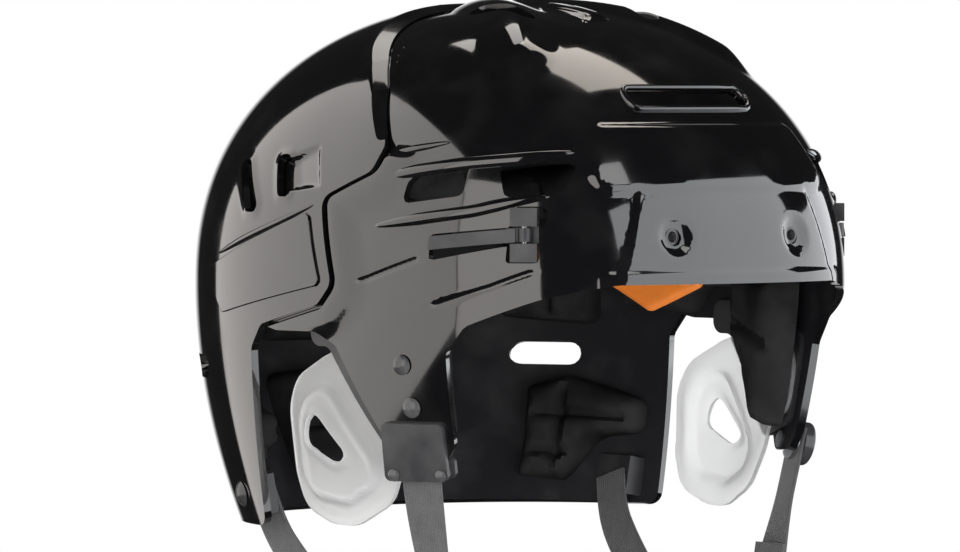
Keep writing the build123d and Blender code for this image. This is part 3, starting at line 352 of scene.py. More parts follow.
def corner_arc(before, corner, after, radius, steps):
    """Points of the arc that rounds one corner."""
    to_before, to_after = before - corner, after - corner
    length_before, length_after = np.linalg.norm(to_before), np.linalg.norm(to_after)
    to_before, to_after = to_before / length_before, to_after / length_after
    half = math.acos(float(np.clip(to_before @ to_after, -1, 1))) / 2
    reach = min(radius / math.tan(half), ARC_SHARE * length_before, ARC_SHARE * length_after)
    sweep_angle = math.pi - 2 * half
    if sweep_angle < LEAST_SWEEP:
        return [corner]
    middle = to_before + to_after
    middle = corner + middle / np.linalg.norm(middle) * reach / math.cos(half)
    first, last = corner + to_before * reach - middle, corner + to_after * reach - middle
    arc = []
    for step in range(steps + 1):
        share = step / steps
        turn = math.sin((1 - share) * sweep_angle) * first + math.sin(share * sweep_angle) * last
        arc.append(middle + turn / math.sin(sweep_angle))
    return arc


def rounded(corners, radius):
    """A closed outline with round corners."""
    corners = [np.array(corner, float) for corner in corners]
    line = []
    for number, corner in enumerate(corners):
        after = corners[(number + 1) % len(corners)]
        line += corner_arc(corners[number - 1], corner, after, radius, CORNER_STEPS)
    return np.array(line)


def bent(corners, radius, steps):
    """An open line with round corners."""
    corners = [np.array(corner, float) for corner in corners]
    line = [corners[0]]
    for before, corner, after in zip(corners, corners[1:], corners[2:]):
        line += corner_arc(before, corner, after, radius, steps)
    return line + [corners[-1]]


def outline(shares, radius):
    """A rounded side view outline from a table of shares."""
    corners = [
        (y_share * (FRONT_REACH if y_share < 0 else REAR_REACH), z_share * CROWN_HEIGHT)
        for y_share, z_share in shares
    ]
    return rounded(corners, radius)


def box_line(low_x, high_x, low_y, high_y, radius=PAD_RADIUS):
    """A rounded box outline between set limits."""
    corners = ((low_x, low_y), (high_x, low_y), (high_x, high_y), (low_x, high_y))
    return rounded(corners, radius)


def slot_outline(across, up, width, height, radius):
    """A rounded slot's outline round its middle."""
    x, y = width / 2, height / 2
    return box_line(across - x, across + x, up - y, up + y, radius)


def run_gap(flat, start, run):
    """Squared distance of flat places to a straight run."""
    share = np.clip((flat - start) @ run / (run @ run), 0, 1)
    gap = flat - start - share[:, None] * run
    return (gap**2).sum(1)


def inside(flat, line):
    """Signed distance of flat places to a closed outline, above zero inside it."""
    nearest = np.full(len(flat), np.inf)
    odd = np.zeros(len(flat), bool)
    for start, end in zip(line, np.roll(line, -1, axis=0)):
        run = end - start
        if run @ run < 1e-12:
            continue
        nearest = np.minimum(nearest, run_gap(flat, start, run))
        crosses = (start[1] > flat[:, 1]) != (end[1] > flat[:, 1])
        slope = run[0] / run[1] if run[1] else 0
        odd ^= crosses & (flat[:, 0] < start[0] + (flat[:, 1] - start[1]) * slope)
    return np.where(odd, 1, -1) * np.sqrt(nearest)


def along(flat, line):
    """Distance of flat places to an open line."""
    line = np.array(line, float)
    gaps = [run_gap(flat, start, end - start) for start, end in zip(line, line[1:])]
    return np.sqrt(np.min(gaps, axis=0))


def less(found, flat, lines, where=True):
    """A signed distance less the insides of closed outlines, where these apply."""
    for line in lines:
        found = np.where(where, np.minimum(found, -inside(flat, line)), found)
    return found


def rises(value, height, start, run):
    """A relief that grows smoothly to its height, over a run from its start."""
    share = np.clip((value - start) / run, 0, 1)
    return height * share * share * (3 - 2 * share)


def falls(value, height, start, run):
    """A relief that shrinks smoothly from its height to nothing, over such a run."""
    return height - rises(value, height, start, run)


def places(bm):
    """The places of a bmesh's vertices."""
    return np.array([vert.co for vert in bm.verts])


def place(bm, points):
    """Gives a bmesh's vertices their places."""
    for vert, point in zip(bm.verts, points):
        vert.co = point


def float_layer(bm, name):
    """A bmesh's layer of numbers on its vertices, made when it isn't there."""
    return bm.verts.layers.float.get(name) or bm.verts.layers.float.new(name)


def form_mesh(cells, offset):
    """A mesh of nearly even squares over the whole form."""
    bm = bmesh.new()
    bmesh.ops.create_cube(bm, size=2)
    bmesh.ops.subdivide_edges(bm, edges=bm.edges[:], cuts=cells - 1, use_grid_fill=True)
    points = np.tan(places(bm) * math.pi / 4)
    place(bm, settle(points + CENTRE, offset))
    return bm


def slide(points, distance, seat, facing, most):
    """Moves points along their surface to a distance's zero line, where that is near."""
    value = distance(points)
    slope = differences(distance, points, SLIDE_STEP) / (2 * SLIDE_STEP)
    up = facing(points)
    slope -= up * (slope * up).sum(1)[:, None]
    size = np.maximum((slope**2).sum(1), LEAST_SLOPE)
    moved = seat(points - slope * (value / size)[:, None])
    far = np.linalg.norm(moved - points, axis=1) > most
    return np.where(far[:, None], points, moved)


def score(bm, distance, seat, facing, spacing):
    """Lays edges along the line where a distance is zero."""

    def slid(points):
        for _ in range(3):
            points = slide(points, distance, seat, facing, SLIDE_SHARE * spacing)
        return points

    layer = float_layer(bm, "distance")
    points = places(bm)
    found = distance(points)
    near = np.abs(found) < SNAP_SHARE * spacing
    if near.any():
        points[near] = slid(points[near])
        found[near] = 0
        place(bm, points)
    for vert, value in zip(bm.verts, found):
        vert[layer] = value
    crossing = [edge for edge in bm.edges if edge.verts[0][layer] * edge.verts[1][layer] < 0]
    fresh = []
    for edge in crossing:
        first, second = edge.verts
        share = first[layer] / (first[layer] - second[layer])
        fresh.append(bmesh.utils.edge_split(edge, first, share)[1])
    if fresh:
        for vert, point in zip(fresh, slid(np.array([vert.co for vert in fresh]))):
            vert.co = point
            vert[layer] = 0
    rim = [vert for vert in bm.verts if vert[layer] == 0]
    if rim:
        bmesh.ops.connect_verts(bm, verts=rim)
    return layer


def refine(bm, gap, seat):
    """Halves the mesh's cells near its moulded lines."""
    near = gap(places(bm)) < REFINE_REACH
    bm.verts.index_update()
    edges = [edge for edge in bm.edges if all(near[vert.index] for vert in edge.verts)]
    bmesh.ops.subdivide_edges(bm, edges=edges, cuts=1, use_grid_fill=True)
    place(bm, seat(places(bm)))


def trim(bm, distance, seat, facing, spacing):
    """Cuts a mesh along the line where a distance is zero and keeps what is above it."""
    found = distance(places(bm))
    far = [vert for vert, value in zip(bm.verts, found) if value < -FAR_SHARE * spacing]
    bmesh.ops.delete(bm, geom=far, context="VERTS")
    layer = score(bm, distance, seat, facing, spacing)
    gone = [face for face in bm.faces if min(vert[layer] for vert in face.verts) < 0]
    bmesh.ops.delete(bm, geom=gone, context="FACES")
    flat = [face for face in bm.faces if all(vert[layer] == 0 for vert in face.verts)]
    if flat:
        low = distance(np.array([face.calc_center_median() for face in flat])) < 0
        gone = [face for face, out in zip(flat, low) if out]
        bmesh.ops.delete(bm, geom=gone, context="FACES")
    loose = [vert for vert in bm.verts if not vert.link_faces]
    bmesh.ops.delete(bm, geom=loose, context="VERTS")


def flat_patch(line, spacing, holes=(), shrink=None):
    """A flat mesh of squares cut to a closed outline, with holes."""
    low, high = line.min(axis=0) - spacing, line.max(axis=0) + spacing
    size, middle = high - low, (low + high) / 2
    columns, rows = (max(int(length / spacing), 2) for length in size)
    bm = bmesh.new()
    bmesh.ops.create_grid(bm, x_segments=columns, y_segments=rows, size=0.5)
    bmesh.ops.scale(bm, vec=(*size, 1), verts=bm.verts)
    bmesh.ops.translate(bm, vec=(*middle, 0), verts=bm.verts)

    def distance(points):
        flat = points[:, :2]
        found = inside(flat, line)
        return less(found - shrink(flat) if shrink else found, flat, holes)

    def seat(points):
        return points * (1, 1, 0)

    def facing(points):
        return np.tile((0.0, 0.0, 1.0), (len(points), 1))

    trim(bm, distance, seat, facing, spacing)
    return bm


def mark_creases(bm):
    """Keeps the mesh's hard corners crisp."""
    for edge in bm.edges:
        if len(edge.link_faces) == 2 and edge.calc_face_angle(0) > CREASE_ANGLE:
            edge.smooth = False


def turn_outward(bm):
    """Turns an open sheet's faces away from the head."""
    bm.normal_update()
    away = sum(
        face.normal.dot(face.calc_center_median() - Vector(CENTRE)) for face in bm.faces
    )
    if away < 0:
        bmesh.ops.reverse_faces(bm, faces=bm.faces)


def mirrored(bm):
    """A copy of a right-hand mesh for the left side."""
    other = bm.copy()
    bmesh.ops.scale(other, vec=(-1, 1, 1), verts=other.verts)
    bmesh.ops.reverse_faces(other, faces=other.faces)
    return other


def pair(bm, name):
    """A right-hand mesh and its mirror image, with their names."""
    return (bm, f"{name}_right"), (mirrored(bm), f"{name}_left")


def add_object(name, data):
    """Links a new object to the scene."""
    made = bpy.data.objects.new(name, data)
    bpy.context.scene.collection.objects.link(made)
    return made


def add_mesh(name, bm):
    """Links a bmesh to the scene as an object."""
    mesh = bpy.data.meshes.new(name)
    bm.to_mesh(mesh)
    bm.free()
    return add_object(name, mesh)


def finish_piece(bm, name, body, slot, nodes=(), modifiers=(), lining="", look=""):
    """Turns a bmesh in millimetres into a piece that rides on a body."""
    layers = bm.verts.layers.float
    for label in layers.keys():
        layers.remove(layers[label])
    bmesh.ops.scale(bm, vec=(MM, MM, MM), verts=bm.verts)
    piece = add_mesh(name, bm)
    for label in (look or SLOT_FINISHES[slot], lining):
        if label:
            piece.data.materials.append(bpy.data.materials[label])
    piece.data.polygons.foreach_set("use_smooth", [True] * len(piece.data.polygons))
    for kind, values in modifiers:
        modifier = piece.modifiers.new(kind.title(), kind)
        for key, value in values.items():
            setattr(modifier, key, value)
    if body:
        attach(piece, body)
    if nodes:
        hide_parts(*nodes)
    return piece


def rim_bevel(width, segments=3):
    """A Bevel modifier for the rims of a moulded wall."""
    return (
        "BEVEL",
        {
            "width": width * MM, "segments": segments, "limit_method": "ANGLE",
            "angle_limit": BEVEL_ANGLE, "harden_normals": True,
            "use_clamp_overlap": True, "profile": 0.5,
        },
    )


def wall_of(thickness):
    """A Solidify modifier for a moulded wall under its outer face."""
    return (
        "SOLIDIFY",
        {
            "thickness": thickness * MM, "offset": -1.0, "use_even_offset": True,
            "use_quality_normals": True,
        },
    )


def shell_distance(points):
    """The front shell's outline, less its slots, vents and windows."""
    side, front = points[:, 1:3], points[:, [0, 2]]
    holes = [outline(shares, SLOT_RADIUS) for shares in SLOTS]
    holes += [rounded(window, WINDOW_RADIUS) for window in (LEVER_WINDOW, HOUSING_WINDOW)]
    holes.append(slot_outline(*SLIDE_SLOT))
    found = less(inside(side, outline(FRONT_OUTLINE, EDGE_RADIUS)), side, holes)
    ahead, crown = points[:, 1] < 0, points[:, 2] > CROWN_VENTS_FROM
    found = less(found, front, [slot_outline(*FRONT_VENT)], ahead)
    for hole in VISOR_HOLES:
        gap = np.linalg.norm(front - hole, axis=1) - VISOR_HOLE_RADIUS
        found = np.where(ahead, np.minimum(found, gap), found)
    return less(found, points[:, :2], [slot_outline(*vent) for vent in CROWN_VENTS], crown)


def step_gap(points):
    """How far ahead of the rear shell's edge points of the front shell lie, in side view."""
    return -inside(points[:, 1:3], outline(REAR_OUTLINE, EDGE_RADIUS))


def front_gap(points):
    """Distance to the front shell's nearest fine moulded line."""
    side, front = points[:, 1:3], points[:, [0, 2]]
    found = np.abs(step_gap(points) - STEP_MIDDLE) - STEP_HALF
    for crease in LOWER_CREASES:
        found = np.minimum(found, along(side, crease))
    for corners, radius, _ in FRONT_PLATES:
        edge = np.abs(inside(front, rounded(corners, radius)))
        found = np.where(points[:, 1] < PLATES_UP_TO, np.minimum(found, edge), found)
    vent = np.abs(inside(front, slot_outline(*FRONT_VENT)))
    return np.where(points[:, 1] < 0, np.minimum(found, vent), found)


def front_relief(points):
    """How far the front shell's moulded forms stand out from the head form."""
    side, front, top = points[:, 1:3], points[:, [0, 2]], points[:, :2]
    aside = np.abs(points[:, 0])
    folded = np.stack([aside, points[:, 1]], axis=1)
    crown = falls(along(folded, CROWN_RIDGE), *RIDGE_FORM)
    crown += rises(inside(top, rounded(HOOD, HOOD_RADIUS)), *HOOD_FORM)
    forward = np.zeros(len(points))
    for corners, radius, rise in FRONT_PLATES:
        forward += rises(inside(front, rounded(corners, radius)), rise, *PLATE_SLOPE)
    for hole in VISOR_HOLES:
        forward -= falls(np.linalg.norm(front - hole, axis=1), *DIMPLE_FORM)
    height = np.where(points[:, 2] > CROWN_FROM, crown, 0)
    height += np.where(points[:, 1] < FRONT_UP_TO, forward, 0)
    gap = step_gap(points)
    height += falls(points[:, 2], *STEP_TOP) * rises(gap, *STEP_FORM) * falls(gap, *STEP_FADE)
    for crease in LOWER_CREASES:
        height -= rises(aside, *CREASE_SIDE) * falls(along(side, crease), *CREASE_FORM)
    return height


def rear_distance(points):
    """The rear shell's outline, less its vents."""
    side = points[:, 1:3]
    holes = [outline(shares, SLOT_RADIUS) for shares in REAR_SLOTS]
    holes.append(slot_outline(*REAR_VENT))
    found = less(inside(side, outline(REAR_OUTLINE, EDGE_RADIUS)), side, holes)
    return less(found, points[:, [0, 2]], [slot_outline(*NAPE_SLOT)], points[:, 1] > 0)


def rear_gap(points):
    """Distance to the rear shell's nearest fine moulded line."""
    side = points[:, 1:3]
    scoop = np.abs(inside(side, rounded(SCOOP, SCOOP_RADIUS)))
    return np.minimum(along(side, WING_EDGE) - CHAMFER_BAND, scoop)


def rear_relief(points):
    """How far the rear shell's moulded forms stand out from its outer face."""
    side = points[:, 1:3]
    height = -CHAMFER_DEPTH * np.clip(1 - along(side, WING_EDGE) / CHAMFER_REACH, 0, 1)
    scoop = inside(side, rounded(SCOOP, SCOOP_RADIUS))
    back = side[:, 0] + SCOOP_FRONT - SCOOP_LEAN * (side[:, 1] - SCOOP_MIDDLE)
    sunk = SCOOP_LEAST + SCOOP_DEPTH * np.clip(back / SCOOP_RUN, 0, 1)
    height -= rises(scoop, sunk, 0, SCOOP_SLOPE)
    for shares in REAR_SLOTS:
        gap = -inside(side, outline(shares, SLOT_RADIUS))
        height += falls(gap, *VENT_FORM) * falls(scoop, *VENT_FADE)
    spine = falls(np.abs(points[:, 0]), *SPINE_FORM) * rises(points[:, 2], *SPINE_FOOT)
    return height + np.where(points[:, 1] > SPINE_FROM, spine, 0)


def rear_room(points):
    """The room cut into the rear shell's inner face for its slide."""
    return falls(points[:, 1], *SLIDE_ROOM)


def no_room(points):
    """The front shell's inner face keeps to the form."""
    return np.zeros(len(points))


def add_inner_face(bm, points):
    """Closes a sheet with an inner face, given its places, in the second material."""
    turn_outward(bm)
    number = bm.verts.layers.int.new("number")
    for count, vert in enumerate(bm.verts):
        vert[number] = count
    grown = bmesh.ops.extrude_face_region(bm, geom=bm.faces[:], use_keep_orig=True)
    for item in grown["geom"]:
        if isinstance(item, bmesh.types.BMVert):
            item.co = points[item[number]]
        elif isinstance(item, bmesh.types.BMFace):
            item.material_index = 1
    bm.verts.layers.int.remove(bm.verts.layers.int["number"])
    bmesh.ops.recalc_face_normals(bm, faces=bm.faces)


def add_shell(sizes, node, offset, distance, relief, gap, room, lines=()):
    """Models a shell's wall with its moulded forms on the outer face."""
    spacing = QUARTER_TURN / sizes.shell_cells

    def seat(points):
        return settle(points, offset)

    def facing(points):
        return normals(points, offset)

    bm = form_mesh(sizes.shell_cells, offset)
    trim(bm, distance, seat, facing, spacing)
    refine(bm, gap, seat)
    for line in lines:
        score(bm, line, seat, facing, spacing / 2)
    base = places(bm)
    out, height = facing(base), relief(base)
    level = np.minimum(room(base) - WALL, height - LEAST_WALL)
    place(bm, base + out * height[:, None])
    add_inner_face(bm, base + out * level[:, None])
    finish_piece(
        bm, f"{node}_skin", node, "shell_gloss", (node,), (rim_bevel(sizes.shell_rim / MM),),
        "Inner plastic",
    )


def guard_sheet(spacing):
    """The right ear guard's outer face: flange, pressed cup and lipped hole."""
    line, hole = outline(GUARD, GUARD_RADIUS), outline(EAR_HOLE, EAR_HOLE_RADIUS)
    bm = flat_patch(line, spacing, [hole])
    flat = places(bm)[:, :2]
    height = rises(inside(flat, outline(CUP, CUP_RADIUS)), *CUP_FORM)
    height += falls(-inside(flat, hole), *HOLE_LIP) + falls(inside(flat, line), *GUARD_BORDER)
    points = on_form(flat, "right", GUARD_OUTER)
    place(bm, points + normals(points, GUARD_OUTER) * height[:, None])
    bmesh.ops.recalc_face_normals(bm, faces=bm.faces)
    turn_outward(bm)
    return bm


def pad_solid(line, view, outer, depth, channels, soft, spacing=PAD_CELL, vents=()):
    """A closed foam pad: flat against the shell, crowned and channelled towards the head."""
    axis = VIEWS[view][0]

    def shrink(flat):
        if depth < THIN_PAD:
            return 0
        return (DRAFT_FROM[view] - np.abs(on_form(flat, view, outer)[:, axis])) * DRAFT

    bm = flat_patch(line, spacing, (), shrink)
    flat = places(bm)[:, :2]
    points = on_form(flat, view, outer)
    border = inside(flat, line) - shrink(flat)
    edge = np.clip(1 - border / soft, 0, 1)
    bulge = (1 - PAD_EDGE_SHARE) * np.sqrt(np.clip(1 - edge**2, 0, 1))
    thickness = depth * (PAD_EDGE_SHARE + bulge)
    thickness += rises(border, PAD_CROWN_SHARE * depth, 0, 2 * soft)
    for channel, half in channels:
        cut = falls(along(flat, channel), CHANNEL_DEPTH, 0, half)
        thickness -= cut * rises(border, *CHANNEL_END)
    sunk = np.zeros(len(flat))
    for vent in vents:
        sunk = np.maximum(sunk, rises(inside(flat, vent), *VENT_POCKET))
    place(bm, points)
    turn_outward(bm)
    layer = float_layer(bm, "deep")
    face = bm.verts[:]
    for vert, deep in zip(face, thickness):
        vert[layer] = deep
    grown = bmesh.ops.extrude_face_region(bm, geom=bm.faces[:], use_keep_orig=True)
    inner = [item for item in grown["geom"] if isinstance(item, bmesh.types.BMVert)]
    start = np.array([vert.co for vert in inner])
    deep = np.array([vert[layer] for vert in inner])
    for vert, point in zip(inner, start - normals(start, outer) * deep[:, None]):
        vert.co = point
    for vert, point in zip(face, points - normals(points, outer) * sunk[:, None]):
        vert.co = point
    bmesh.ops.recalc_face_normals(bm, faces=bm.faces)
    mark_creases(bm)
    return bm


class Seat:
    """A place on the form's right side with its own directions."""

    def __init__(self, y, z, offset=0.0):
        step = SEAT_STEP
        here = on_form(np.array([(y, z)]), "right")[0]
        run = on_form(
            np.array([(y - step, z), (y + step, z), (y, z - step), (y, z + step)]), "right"
        )
        out = np.cross(run[0] - run[1], run[3] - run[2])
        self.out = out / np.linalg.norm(out)
        self.origin = here + self.out * offset
        forward = run[0] - run[1]
        forward -= self.out * (forward @ self.out)
        self.forward = forward / np.linalg.norm(forward)
        self.up = np.cross(self.out, self.forward)


STRAP_LEAN = (-Seat(STRAP_Y, STRAP_TOP).origin[0] - STRAP_FOOT_OUT) / (STRAP_TOP - STRAP_FOOT)
FORWARD = np.array((0.0, -1.0, 0.0))
SIDE_UP = np.array((-STRAP_LEAN, 0.0, 1.0)) / math.hypot(STRAP_LEAN, 1)
SIDE_OUT = np.cross(FORWARD, SIDE_UP)
MIRROR = np.array((-1, 1, 1))


def side_place(height, inward=0.0):
    """A point on the right strap's plane, moved inward from it."""
    out = STRAP_FOOT_OUT + STRAP_LEAN * (height - STRAP_FOOT)
    return np.array((-out, STRAP_Y, height)) - SIDE_OUT * inward


def hermite(start, leave, end, arrive, steps=RUN_STEPS):
    """A smooth run between two places with set directions."""
    run = []
    for step in range(steps + 1):
        s = step / steps
        run.append(
            start * (2 * s**3 - 3 * s**2 + 1) + leave * (s**3 - 2 * s**2 + s)
            + end * (3 * s**2 - 2 * s**3) + arrive * (s**3 - s**2)
        )
    return run


def spaced(points, step):
    """The same line with points at nearly even steps, and how far along each lies."""
    points = np.array(points)
    gaps = np.linalg.norm(np.diff(points, axis=0), axis=1)
    reach = np.concatenate([[0], np.cumsum(gaps)])
    count = max(int(reach[-1] / step), 3)
    wanted = np.linspace(0, reach[-1], count + 1)
    return np.stack([np.interp(wanted, reach, axis) for axis in points.T], axis=1), wanted


def sweep(bm, points, across, width, thickness, step, square=(1.0, 1.0), taper=0.0):
    """Sweeps a section along a line; across gives its width's direction."""
    line, reach = spaced(points, step)
    run = np.gradient(line, axis=0)
    run /= np.linalg.norm(run, axis=1)[:, None]
    frames = []
    for here, ahead, far in zip(line, run, reach):
        wide = across(far / reach[-1])
        wide = wide - ahead * (wide @ ahead)
        wide /= np.linalg.norm(wide)
        grown = 1.0
        if taper:
            ends = min(far, reach[-1] - far)
            grown = math.sqrt(min(ends / taper, 1)) * (1 - RIB_TIP) + RIB_TIP
        sides = (wide * grown, np.cross(ahead, wide) * grown, ahead, here)
        frames.append(Matrix([*zip(*sides), (0, 0, 0, 1)]))
    along_layer, wide_layer = float_layer(bm, "along"), float_layer(bm, "wide")
    ring = bmesh.ops.create_circle(bm, segments=20, radius=1)["verts"]
    for vert in ring:
        x, y = vert.co.x, vert.co.y
        vert.co.x = math.copysign(abs(x) ** square[0], x) * width / 2
        vert.co.y = math.copysign(abs(y) ** square[1], y) * thickness / 2
        vert[wide_layer] = vert.co.x + (width * 1.2 if y < -0.01 else 0)
        vert[along_layer] = 0
    edges = list({edge for vert in ring for edge in vert.link_edges})
    bmesh.ops.contextual_create(bm, geom=edges)
    bmesh.ops.transform(bm, matrix=frames[0], verts=ring)
    for before, after, far in zip(frames, frames[1:], reach[1:]):
        grown = bmesh.ops.extrude_edge_only(bm, edges=edges)["geom"]
        ring = [item for item in grown if isinstance(item, bmesh.types.BMVert)]
        edges = [item for item in grown if isinstance(item, bmesh.types.BMEdge)]
        bmesh.ops.transform(bm, matrix=after @ before.inverted(), verts=ring)
        for vert in ring:
            vert[along_layer] = far
    bmesh.ops.contextual_create(bm, geom=edges)


def flat_on(run, out):
    """A width's direction for each share of a line, so that its section lies flat."""
    wide = np.cross(np.gradient(run, axis=0), out)

    def across(share):
        return wide[min(int(share * len(wide)), len(wide) - 1)]

    return across


def twisted(first, last, *turn):
    """A width's direction that turns from the first to the last, over a share of a line."""

    def across(share):
        turned = float(rises(share, 1, *turn))
        return first * (1 - turned) + last * turned

    return across


def bead(bm, line, view, offset, width, height, taper):
    """A rounded rib that lies on the form along a line of a flat view."""
    run = on_form(spaced(line, RIB_STEP)[0], view, offset)
    across = flat_on(run, normals(run, offset))
    sweep(bm, run, across, width, 2 * height, RIB_STEP, taper=taper)


def finish_bead(bm, name, body):
    """Makes beads a piece of their shell."""
    bmesh.ops.recalc_face_normals(bm, faces=bm.faces)
    finish_piece(bm, name, body, "shell_gloss")


def add_webbing(node, body, points, across):
    """Sweeps webbing along a line, with weave coordinates in millimetres."""
    bm = bmesh.new()
    sweep(
        bm, points, across, WEBBING_WIDTH, WEBBING_THICKNESS, WEBBING_STEP, WEBBING_SQUARENESS
    )
    bmesh.ops.recalc_face_normals(bm, faces=bm.faces)
    mark_creases(bm)
    along_layer, wide_layer = bm.verts.layers.float["along"], bm.verts.layers.float["wide"]
    uv = bm.loops.layers.uv.new("Weave")
    for face in bm.faces:
        for loop in face.loops:
            loop[uv].uv = (loop.vert[wide_layer], loop.vert[along_layer])
    return finish_piece(bm, f"{node}_webbing", body, "webbing", (node,))


def fold_round(bar, up, out, lead, leave, press, arrive, end):
    """Webbing's middle line up to a bar, round it and back down behind itself."""
    near, back = out * BAR_LOOP, out * FOLD_GAP
    line = hermite(bar - up * lead, up * lead, bar + near, up * lead, FOLD_RUN_STEPS)
    for step in range(FOLD_STEPS + 1):
        angle = math.radians(FOLD_START + (FOLD_END - FOLD_START) * step / FOLD_STEPS)
        line.append(bar + near * math.cos(angle) + up * BAR_LOOP * math.sin(angle))
    pressed = bar - up * press - back
    line += hermite(bar - near, -up * leave, pressed, -up * arrive, FOLD_RUN_STEPS)
    return line + [bar - up * end - back]


def chin_line():
    """The chin strap's middle line, from the right clip to the fold round the left bar."""
    clip = Seat(STRAP_Y, STRAP_TOP, -1.0)
    top, low = side_place(TWIST_LEVEL), side_place(STRAP_LOW)
    start, end = clip.origin - clip.up * CLIP_LEAD, top + SIDE_UP * CLIP_LEAD
    line = [clip.origin] + hermite(start, -clip.up * CLIP_PULL, end, -SIDE_UP * CLIP_PULL)
    bar, up, out = side_place(BUCKLE_LEVEL) * MIRROR, SIDE_UP * MIRROR, SIDE_OUT * MIRROR
    foot = bar - up * CHIN_FOLD[0]
    line += bent([top, low, low * MIRROR, foot], CHIN_ROUND, CHIN_STEPS)
    return line + fold_round(bar, up, out, *CHIN_FOLD)


def front_strap_line(seat):
    """The snap strap's middle line, from its round tip to the fold round the upper bar."""
    bar = side_place(BUCKLE_LEVEL) + SIDE_UP * BUCKLE_SPAN
    start, end = seat.origin - seat.up * SNAP_LEAD, bar + SIDE_UP * SNAP_FOLD[0]
    line = [seat.origin + seat.up * SNAP_TIP, seat.origin]
    line += hermite(start, -seat.up * SNAP_PULL, end, -SIDE_UP * SNAP_PULL)
    line += fold_round(bar, -SIDE_UP, SIDE_OUT, *SNAP_FOLD)
    return [point * MIRROR for point in line]


def rear_strap_line():
    """The right rear strap's middle line, from its anchor to the chin strap."""
    line = []
    for y_share, z_share in REAR_STRAP_SHARES:
        height = REAR_ANCHOR[1] + (REAR_STRAP_FOOT - REAR_ANCHOR[1]) * z_share
        point = side_place(height, WEBBING_THICKNESS + LAP_GAP)
        point[1] = REAR_ANCHOR[0] + (STRAP_Y - REAR_ANCHOR[0]) * y_share
        line.append(point)
    smooth = []
    for before, start, end, after in zip(
        [line[0]] + line[:-1], line, line[1:], line[2:] + [line[-1]]
    ):
        smooth += hermite(start, (end - before) / 2, end, (after - start) / 2)[:-1]
    return smooth + [line[-1]]


def feed(tree, node, inputs):
    """Gives a node's inputs their values, or links them to sockets."""
    for label, value in inputs:
        if isinstance(value, bpy.types.NodeSocket):
            tree.links.new(value, node.inputs[label])
        else:
            node.inputs[label].default_value = value


def shader_node(tree, kind, inputs=(), **settings):
    """A new shader node with its settings and inputs."""
    node = tree.nodes.new(f"ShaderNode{kind}")
    for name, value in settings.items():
        setattr(node, name, value)
    feed(tree, node, inputs)
    return node


def maths(tree, operation, *values):
    """A Math node's result."""
    return shader_node(tree, "Math", enumerate(values), operation=operation).outputs[0]


def noise(tree, where, scale, detail):
    """A Noise Texture's value."""
    inputs = (("Vector", where), ("Scale", scale), ("Detail", detail))
    return shader_node(tree, "TexNoise", inputs).outputs["Fac"]


def span(tree, value, low, high, to_low=0.0, to_high=1.0):
    """A Map Range node's result."""
    inputs = (
        ("Value", value), ("From Min", low), ("From Max", high), ("To Min", to_low),
        ("To Max", to_high),
    )
    return shader_node(tree, "MapRange", inputs).outputs["Result"]


def new_group(name, inputs, outputs):
    """A shader node group: its inputs' sockets, its output node and object coordinates."""
    group = bpy.data.node_groups.new(name, "ShaderNodeTree")
    for label, value in inputs:
        socket = group.interface.new_socket(label, in_out="INPUT", socket_type="NodeSocketFloat")
        socket.default_value = value
    for label in outputs:
        group.interface.new_socket(label, in_out="OUTPUT", socket_type="NodeSocketFloat")
    entry, leave = group.nodes.new("NodeGroupInput"), group.nodes.new("NodeGroupOutput")
    return group, entry.outputs, leave, shader_node(group, "TexCoord").outputs["Object"]


def build_moulding():
    """Moulded plastic: slow waviness, fine grain and patches of light wear."""
    inputs = (("Wave Scale", 16.0), ("Grain Scale", 900.0), ("Grain", 0.05))
    group, entry, leave, where = new_group("Moulded Plastic", inputs, ("Height", "Wear"))
    wave = noise(group, where, entry["Wave Scale"], 1.0)
    grain = noise(group, where, entry["Grain Scale"], 3.0)
    height = maths(group, "ADD", wave, maths(group, "MULTIPLY", grain, entry["Grain"]))
    scuff = noise(group, where, 46.0, 6.0)
    feed(group, leave, (("Height", height), ("Wear", span(group, scuff, 0.48, 0.78))))
    return group


def build_foam():
    """Foam skin: fine closed cells, a soft dimpling and uneven shade."""
    inputs = (("Cell Scale", 700.0), ("Dimple Scale", 130.0))
    group, entry, leave, where = new_group("Foam Skin", inputs, ("Height", "Shade"))
    cells = shader_node(
        group, "TexVoronoi", (("Vector", where), ("Scale", entry["Cell Scale"]))
    )
    dimples = noise(group, where, entry["Dimple Scale"], 3.0)
    height = maths(group, "MULTIPLY_ADD", cells.outputs["Distance"], 0.35, dimples)
    patches = noise(group, where, 60.0, 5.0)
    feed(group, leave, (("Height", height), ("Shade", span(group, patches, 0.35, 0.7))))
    return group


